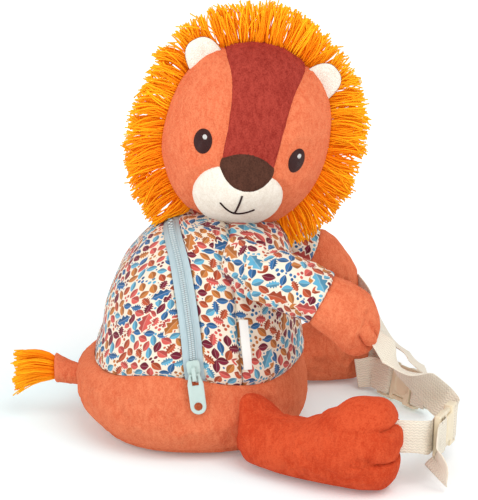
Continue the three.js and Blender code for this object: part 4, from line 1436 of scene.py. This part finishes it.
def tubes(name, lines, thick, sides, taper=None):
    """Round threads along lines of points, as one mesh."""
    curve = bpy.data.curves.new(name, "CURVE")
    curve.dimensions = "3D"
    curve.bevel_depth = thick / 2 * MM
    curve.bevel_resolution = max(sides // 2 - 2, 0)
    for line in lines:
        spline = curve.splines.new("POLY")
        spline.points.add(len(line) - 1)
        for k, (spot, point) in enumerate(zip(spline.points, line)):
            spot.co = (*(point * MM), 1)
            spot.radius = taper[k] if taper else 1.0
    holder = bpy.data.objects.new(name + "_lines", curve)
    mesh = bpy.data.meshes.new_from_object(holder)
    bpy.data.objects.remove(holder)
    bpy.data.curves.remove(curve)
    sheet = bmesh.new()
    sheet.from_mesh(mesh)
    sheet.loops.layers.uv.verify()
    soften(sheet)
    bmesh.ops.holes_fill(sheet, edges=[edge for edge in sheet.edges if edge.is_boundary], sides=0)
    sheet.to_mesh(mesh)
    sheet.free()
    mesh.name = name
    mesh.uv_layers[0].name = "flat"
    return mesh


def yarn_strands(name, lines, tones):
    """Cut yarn strands as one mesh, each with its own tone, in which the mane carries painted shade, and a
    share from root to tip that the finish darkens towards the root as painted shade.
    """
    thick = bpy.context.scene.lion_yarn.thick / MM
    count = len(lines[0])
    taper = [lerp(0.95, 1.1, k / (count - 1)) for k in range(count)]
    mesh = tubes(name, lines, thick, 4, taper)
    spots = range(len(mesh.vertices))
    sides = len(spots) // (len(lines) * count)
    each = count * sides
    if each * len(lines) != len(spots):
        raise RuntimeError(f"{name}: the strands' points don't follow one another")
    shares = {
        "tone": [tones[k // each] for k in spots],
        "tip": [(k % each) // sides / (count - 1) for k in spots],
    }
    for key, values in shares.items():
        mesh.attributes.new(key, "FLOAT", "POINT").data.foreach_set("value", values)
    return placed(mesh, name, "yarn")


class LION_OT_mane(bpy.types.Operator):
    """Make the fringe of cut yarn round the head"""

    bl_idname = "lion.mane"
    bl_label = "Mane"

    def execute(self, context):
        chance = random.Random(MANE_SEED)
        count = context.scene.lion_yarn.mane
        start, end = MANE_ROWS[0][0] - MANE_PAST[0], MANE_ROWS[-1][0] + MANE_PAST[1]
        lines, tones = [], []
        for k in range(count):
            angle = lerp(start, end, (k + chance.random()) / count)
            beside_ear = abs(abs(angle) - EAR_ANGLE) < EAR_BARE
            layer = chance.uniform(-0.4 if beside_ear else -1, 1)
            reach, swept = smooth(MANE_ROWS, angle)
            place = angle / TUFT_WIDE + 0.8 * drift(angle / 9, layer * 0.5, 1.7)
            tuft = round(place)
            lock = drift(angle / 8, layer * 0.6, 3.3)
            drawn = (tuft - place) * TUFT_WIDE * chance.uniform(0.6, 1.1)
            loose = lerp(0.5, 1, ramp(abs(angle), 0, 50))
            lean = (drawn + lock * LOCK_LEAN) * loose + chance.gauss(0, 1.4)
            stray = chance.gauss(0, 7) if chance.random() < STRAY_SHARE else 0.0
            long = reach * (1.0 + 0.12 * drift(tuft * 1.7, layer, 8.2) + chance.uniform(-0.13, 0.06))
            root = head_reach(math.radians(angle)) - 2
            bend = 5 * drift(tuft * 2.3, layer * 0.4, 5.1) + chance.uniform(-2, 2)
            line = []
            for step in range(STRAND_STEPS + 1):
                share = step / STRAND_STEPS
                out = root + long * share
                turn = math.radians(angle + (lean + stray) * share**1.5)
                turn += bend / out * math.sin(math.pi * share)
                wave = chance.uniform(-0.7, 0.7) * (0 < step)
                depth = lerp(layer * 4.5, swept + layer * 8.5, share**0.8) + wave
                point = HEAD_MATRIX @ Vector((out * math.sin(turn), depth, out * math.cos(turn)))
                point.z -= 5.5 * share**2 * abs(math.sin(math.radians(angle)))
                line.append(clear_of_body(point, 1.2))
            lines.append(line)
            # Painted shade: strands low on the mane's sides darken, as if the head shaded them.
            shaded = 0.3 * ramp(abs(angle), 75, 120)
            tones.append(ramp(0.5 - shaded + lock * 0.35 + chance.gauss(0, 0.18), 0, 1))
        yarn_strands("mane", lines, tones)
        return {"FINISHED"}


class LION_OT_ears(bpy.types.Operator):
    """Make the ears, cream in front and dark red behind"""

    bl_idname = "lion.ears"
    bl_label = "Ears"

    def execute(self, context):
        for name, side in SIDES.items():
            turn = math.radians(side * EAR_ANGLE)
            reach = head_reach(turn)
            spot = Matrix.Translation((reach * math.sin(turn), -EAR_FORWARD, reach * math.cos(turn)))
            seat = HEAD_MATRIX @ spot @ Matrix.Rotation(turn, 4, "Y")

            def front(u, v, seat=seat):
                x, z = self.outline(u, v)
                y = 1.8 * bell(v, 0, 0.6) - EAR_THICK * math.sqrt(max(1 - v**2.4, 0))
                return seat @ Vector((x, y + ripple(Vector((x, z, 1)), 8, 0.3), z))

            def back(u, v, seat=seat):
                x, z = self.outline(u, v)
                return seat @ Vector((x * 1.02, EAR_THICK * math.sqrt(max(1 - v**2.4, 0)) + 0.1, z * 1.02))

            middle = seat.to_translation()
            piece(woven(GRIDS["ear"], front), f"ear_front_{name}", "cream_plush", middle)
            piece(woven(GRIDS["ear"], back), f"ear_back_{name}", "dark_red_plush", middle)
        return {"FINISHED"}

    @staticmethod
    def outline(u, v):
        """Place across and up an ear at a turn round it and a share out from its middle."""
        aside, up = math.sin(TURN * u), math.cos(TURN * u)
        square = (abs(aside) ** 2.6 + abs(up) ** 2.6) ** (-1 / 2.6)
        wide = EAR_WIDE * (1 - 0.14 * v * up)
        return wide * v * square * aside, EAR_HIGH * v * square * up * 0.97


def limb(line, rows, grid, shape):
    """A stuffed tube along a line: rows give its rise and half-sizes, and shape adds a rise to its skin."""
    columns, count = grid
    spine = measured(line, 3)
    whole = spine[-1][0]
    steps = measured([(row[0] * whole, *row[1:]) for row in rows], 4)
    total = steps[-1][0]

    rings = []
    for row in range(count + 1):
        run, rise, wide, high = smooth(steps, total * row / count)
        middle = Vector(smooth(spine, run)) + Vector((0, 0, rise))
        ahead = Vector(smooth(spine, min(run + 1.5, whole))) - Vector(smooth(spine, run - 1.5))
        ahead.normalize()
        sideways = Vector((0, 0, 1)).cross(ahead).normalized()
        upward = ahead.cross(sideways)
        points = []
        for column in range(columns):
            turn = TURN * (column / columns - 0.25)
            points.append(middle + sideways * (wide * math.cos(turn)) + upward * (high * math.sin(turn)))
        rings.append((run / whole, high, min(wide / 3, 1), points))

    def place(u, v):
        column, row = round(u * columns) % columns, round(v * count)
        along, high, share, points = rings[row]
        turn = TURN * (u - 0.25)
        round_it = points[(column + 1) % columns] - points[column - 1]
        onward = rings[min(row + 1, count)][3][column] - rings[max(row - 1, 0)][3][column]
        out = round_it.cross(onward).normalized()
        return points[column] + out * shape(along, turn, points[column], high * math.sin(turn)) * share

    return woven(grid, place)


class LION_OT_arms(bpy.types.Operator):
    """Make the sleeves and the stuffed hands"""

    bl_idname = "lion.arms"
    bl_label = "Arms"

    def execute(self, context):
        def sleeve_shape(along, turn, point, up):
            fold = bell(along, 0.22, 0.2)
            pleat = -3.2 * fold * pinch(off_turn(turn, -2.35 - along), 0, 0.16)
            lap = 2.0 * fold * bell(off_turn(turn, -1.95 - along), 0, 0.25)
            hem = -0.5 * bell(along, 0.59, 0.008)
            return pleat + lap + hem + uneven(point, "sleeve")

        def hand_shape(along, turn, point, up):
            bent = ramp(along, 0.68, 0.88) * (point.x > 0)
            slim = -8 * bent * bell(off_turn(turn, 1.5), 0, 0.9)
            end = bell(along, 0.92, 0.07)
            thumb = 4.5 * end * bell(off_turn(turn, -1.8), 0, 0.45)
            split = -6 * ramp(along, 0.88, 0.91) * pinch(off_turn(turn, (along - 0.9) * 7 - 2.9), 0, 0.15)
            dent = -2.2 * end * bell(off_turn(turn, 2.6), 0, 0.2)
            gathers = 0.5 * math.sin(turn * 23) * math.exp(-max(along - 0.635, 0) / 0.03)
            return slim + thumb + split + dent + gathers + uneven(point, "hand")

        for name in SIDES:
            line = ARM_LINES[name]
            shoulder, cuff = Vector(line[0]), Vector(line[3])

            def sleeve_ends(point, shoulder=shoulder, cuff=cuff):
                return eased(min((point - shoulder).length, (point - cuff).length) - 24, 5)

            def wrist(point, cuff=cuff):
                return eased((point - cuff).length - 22, 4)

            sleeve = limb(line, SLEEVE_ROWS, GRIDS["arm"], sleeve_shape)
            stuffed(piece(sleeve, f"sleeve_{name}", "printed_jersey"), sleeve_ends)
            hand = limb(line, HAND_ROWS, GRIDS["arm"], hand_shape)
            stuffed(piece(hand, f"hand_{name}", "coral_plush"), wrist)
        return {"FINISHED"}


class LION_OT_legs(bpy.types.Operator):
    """Make the stuffed legs, with creased toes"""

    bl_idname = "lion.legs"
    bl_label = "Legs"

    def execute(self, context):
        def leg_shape(along, turn, point, up):
            tip = ramp(along, 0.86, 0.94)
            toes = sum(-4.6 * tip * pinch(up, line, 1.6) for line in TOE_LINES)
            ankle = 0.4 * math.sin(along * 62) * bell(along, 0.5, 0.12) * max(math.sin(turn), 0)
            corner = 5 * bell(along, 0.205, 0.04) * bell(off_turn(turn, 2.1), 0, 0.4)
            lift = toes + ankle + corner + uneven(point, "leg")
            return max(lift, 0.9 - point.z) if point.z < 4 else lift

        for name in SIDES:
            leg = limb(LEG_LINES[name], LEG_ROWS, GRIDS["leg"], leg_shape)
            for vert in leg.verts:
                vert.co.z = max(vert.co.z, 0.6 * MM)
            # Painted shade: the near leg takes a darker copy of the coral plush.
            nap = "near_leg" if name == "right" else None
            made = piece(leg, f"leg_{name}", "coral_plush", finish=nap)
            stuffed(made, lambda point: max(eased(point.z - 3, 3), eased(-60 - point.y, 6)))
        return {"FINISHED"}


class LION_OT_tail(bpy.types.Operator):
    """Make the tail and its yarn tassel"""

    bl_idname = "lion.tail"
    bl_label = "Tail"

    def execute(self, context):
        def place(u, v):
            y = lerp(TAIL_ROWS[0][0], TAIL_ROWS[-1][0], v)
            z, wide, high = smooth(TAIL_ROWS, y)
            aside, up = math.cos(TURN * u), math.sin(TURN * u)
            share = 1 - max(v - 0.97, 0) / 0.03
            point = Vector((wide * share * aside, y, z + high * share * up))
            return point + Vector((aside, 0, up)) * ripple(point, 7, 0.5) * share

        tail = piece(woven(GRIDS["tail"], place), "tail", "coral_plush")
        stuffed(tail, lambda point: max(eased(point.y - 91, 4), eased(104 - point.y, 4)))
        chance = random.Random(TASSEL_SEED)
        lines, tones = [], []
        end, height = TAIL_ROWS[-1][0], TAIL_ROWS[-1][1]
        for _ in range(context.scene.lion_yarn.tassel):
            turn, far = chance.uniform(0, TURN), math.sqrt(chance.random())
            ring = max(round(far * TASSEL_RINGS), 1)
            part = TURN / (TASSEL_LOCKS * ring)
            own = round(turn / part)
            lock = drift(own * 1.9, ring * 2.3, 4.4)
            long = TASSEL_LONG * (chance.uniform(0.84, 1.0) + 0.14 * lock)
            drop = chance.uniform(6, 13) if chance.random() < 0.02 else chance.gauss(1.0, 1.2)
            line = []
            for step in range(STRAND_STEPS + 1):
                share = step / STRAND_STEPS
                drawn = 0.72 * share
                spread = lerp(far, ring / TASSEL_RINGS, drawn) * lerp(*TASSEL_HALF, share**0.6)
                spread += lock * 3 * share
                at = lerp(turn, own * part, drawn) + 0.35 * lock * share + chance.uniform(-0.04, 0.04)
                point = Vector((spread * 0.75 * math.cos(at), end - 2 + long * share, spread * math.sin(at)))
                line.append(point + Vector((0, 0, height + 2 * math.sin(math.pi * share) - drop * share**2)))
            lines.append(line)
            tones.append(ramp(0.45 + lock * 0.4 + chance.gauss(0, 0.18), 0, 1))
        yarn_strands("tail_tassel", lines, tones)
        return {"FINISHED"}


def buckle_frame(name):
    """Frame of a buckle: X along the strap, Y across it."""
    pose = BUCKLES[name]
    x = Vector(pose["along"]).normalized()
    z = x.cross(Vector(pose["tilt"])).normalized()
    turn = Matrix((x, z.cross(x), z)).transposed().to_4x4()
    return Matrix.Translation(pose["at"]) @ turn


def buckle_rows(name, places, flip):
    """Webbing rows given in a buckle's frame."""
    seat = buckle_frame(name)
    wide = seat.to_3x3().col[1] * flip
    return [(seat @ Vector((x, 0, z)), wide) for x, z in places]


def around_bar(edge, way, thick):
    """Places around a buckle's bar, from one side of it to the other through the slot."""
    over = thick / 2 + WEB_THICK / 2 + WEB_GAP
    slot = edge + way * BAR_SLOT / 2
    turned = slot + way * 0.4
    return [(edge, over), (slot, thick / 2), (turned, 0), (slot, -thick / 2), (edge, -over)]


def foot_rows(name):
    """Foot webbing: from its free end, around the plug's inner bar and on to the toe seam."""
    load = BUCKLES[name]["load"]
    edge = PLUG_BACK + BAR_WIDE + BAR_SLOT
    wrap = [(x, -load * z) for x, z in around_bar(edge, -1, PLUG_THICK)]
    rise, out = wrap[4][1], PLUG_FRONT + 3
    threaded = buckle_rows(name, [(out + 5, -rise), (out, -rise), *wrap, (out, rise)], 1)
    return [*FREE_ENDS[name], *threaded, *FOOT_STRAPS[name]]


def shoulder_rows(name):
    """Shoulder webbing: lapped around the socket's bar, then up to the hand."""
    rows = SHOULDER_STRAPS[name]
    edge = SOCKET_BACK + BAR_WIDE
    near = WEB_THICK * 1.6
    lapped = [(edge - 14, WEB_THICK), (edge - 6, near), *around_bar(edge, 1, BAR_THICK), (edge - 6, -near)]
    flip = math.copysign(1, rows[0][1][2] * BUCKLES[name]["tilt"][2])
    return [*buckle_rows(name, lapped, flip), *rows]


def through(points, k, share):
    """Point of the smooth line through points, a share of the way from one to the next."""
    first, second = points[k], points[k + 1]
    before = points[k - 1] if k > 0 else first * 2 - second
    after = points[k + 2] if k + 2 < len(points) else second * 2 - first
    come, step, leave = first - before, second - first, after - second
    a, b, c = (max(way.length**0.5, 1e-4) for way in (come, step, leave))
    start = (come / a - (second - before) / (a + b) + step / b) * b
    end = (step / b - (after - first) / (b + c) + leave / c) * b
    return cubic(first, second, start, end, share)


def strap(rows):
    """Flat webbing with soft edges along rows of places and directions across it."""
    points = [Vector(row[0]) for row in rows]
    wides = [Vector(row[1]).normalized() for row in rows]
    count = (len(rows) - 1) * WEB_STEPS

    def station(k):
        k = min(max(k, 0), count)
        at = min(k // WEB_STEPS, len(rows) - 2)
        return at, k / WEB_STEPS - at

    def place(u, v):
        k = round(v * (count + 2)) - 1
        at, share = station(k)
        ahead = through(points, at, min(share + 0.02, 1)) - through(points, at, max(share - 0.02, 0))
        ahead.normalize()
        wide = wides[at].lerp(wides[at + 1], share)
        sideways = (wide - ahead * wide.dot(ahead)).normalized()
        outward = ahead.cross(sideways).normalized()
        middle = through(points, at, share)
        if k < 0 or k > count:
            return middle
        turn = TURN * u
        across = math.copysign(abs(math.cos(turn)) ** 0.35, math.cos(turn)) * WEB_WIDE / 2
        thick = math.copysign(abs(math.sin(turn)) ** 0.7, math.sin(turn)) * WEB_THICK / 2
        return middle + sideways * across + outward * thick

    return woven((WEB_COLUMNS, count + 2), place)


class LION_OT_straps(bpy.types.Operator):
    """Make the webbing from each foot and hand to the buckles"""

    bl_idname = "lion.straps"
    bl_label = "Straps"

    def execute(self, context):
        for name in SIDES:
            piece(strap(foot_rows(name)), f"foot_strap_{name}", "webbing")
            piece(strap(shoulder_rows(name)), f"shoulder_strap_{name}", "webbing")
        return {"FINISHED"}


class LION_OT_buckles(bpy.types.Operator):
    """Make the moulded side-release buckles"""

    bl_idname = "lion.buckles"
    bl_label = "Buckles"

    def execute(self, context):
        for name in SIDES:
            for half in ("socket", "plug"):
                bevelled(f"buckle_{half}_{name}", "buckle_plastic")
        return {"FINISHED"}


class LION_PT_panel(bpy.types.Panel):
    """Settings and steps of the plush lion"""

    bl_idname = "LION_PT_panel"
    bl_label = "Plush Lion Backpack"
    bl_space_type = "VIEW_3D"
    bl_region_type = "UI"
    bl_category = "Lion"

    def draw(self, context):
        for operator in OPERATORS:
            self.layout.operator(operator.bl_idname)
        for key in SETTINGS:
            panel_settings(self.layout.box(), getattr(context.scene, key))


SETTINGS = {
    "lion_plush": LionPlush,
    "lion_print": LionPrint,
    "lion_yarn": LionYarn,
    "lion_trim": LionTrim,
    "lion_stage": LionStage,
}
OPERATORS = (
    LION_OT_stage,
    LION_OT_bag,
    LION_OT_zip,
    LION_OT_label,
    LION_OT_head,
    LION_OT_face,
    LION_OT_ears,
    LION_OT_mane,
    LION_OT_arms,
    LION_OT_legs,
    LION_OT_tail,
    LION_OT_straps,
    LION_OT_buckles,
)
CLASSES = (*SETTINGS.values(), *OPERATORS, LION_PT_panel)


def register():
    """Add the settings, steps and panel."""
    for each in CLASSES:
        bpy.utils.register_class(each)
    for key, group in SETTINGS.items():
        setattr(bpy.types.Scene, key, bpy.props.PointerProperty(type=group))


def unregister():
    """Take them away again."""
    for key in SETTINGS:
        delattr(bpy.types.Scene, key)
    for each in reversed(CLASSES):
        bpy.utils.unregister_class(each)


def main():
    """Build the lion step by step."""
    register()
    for operator in OPERATORS:
        group, step = operator.bl_idname.split(".")
        getattr(getattr(bpy.ops, group), step)()


if __name__ == "__main__":
    main()
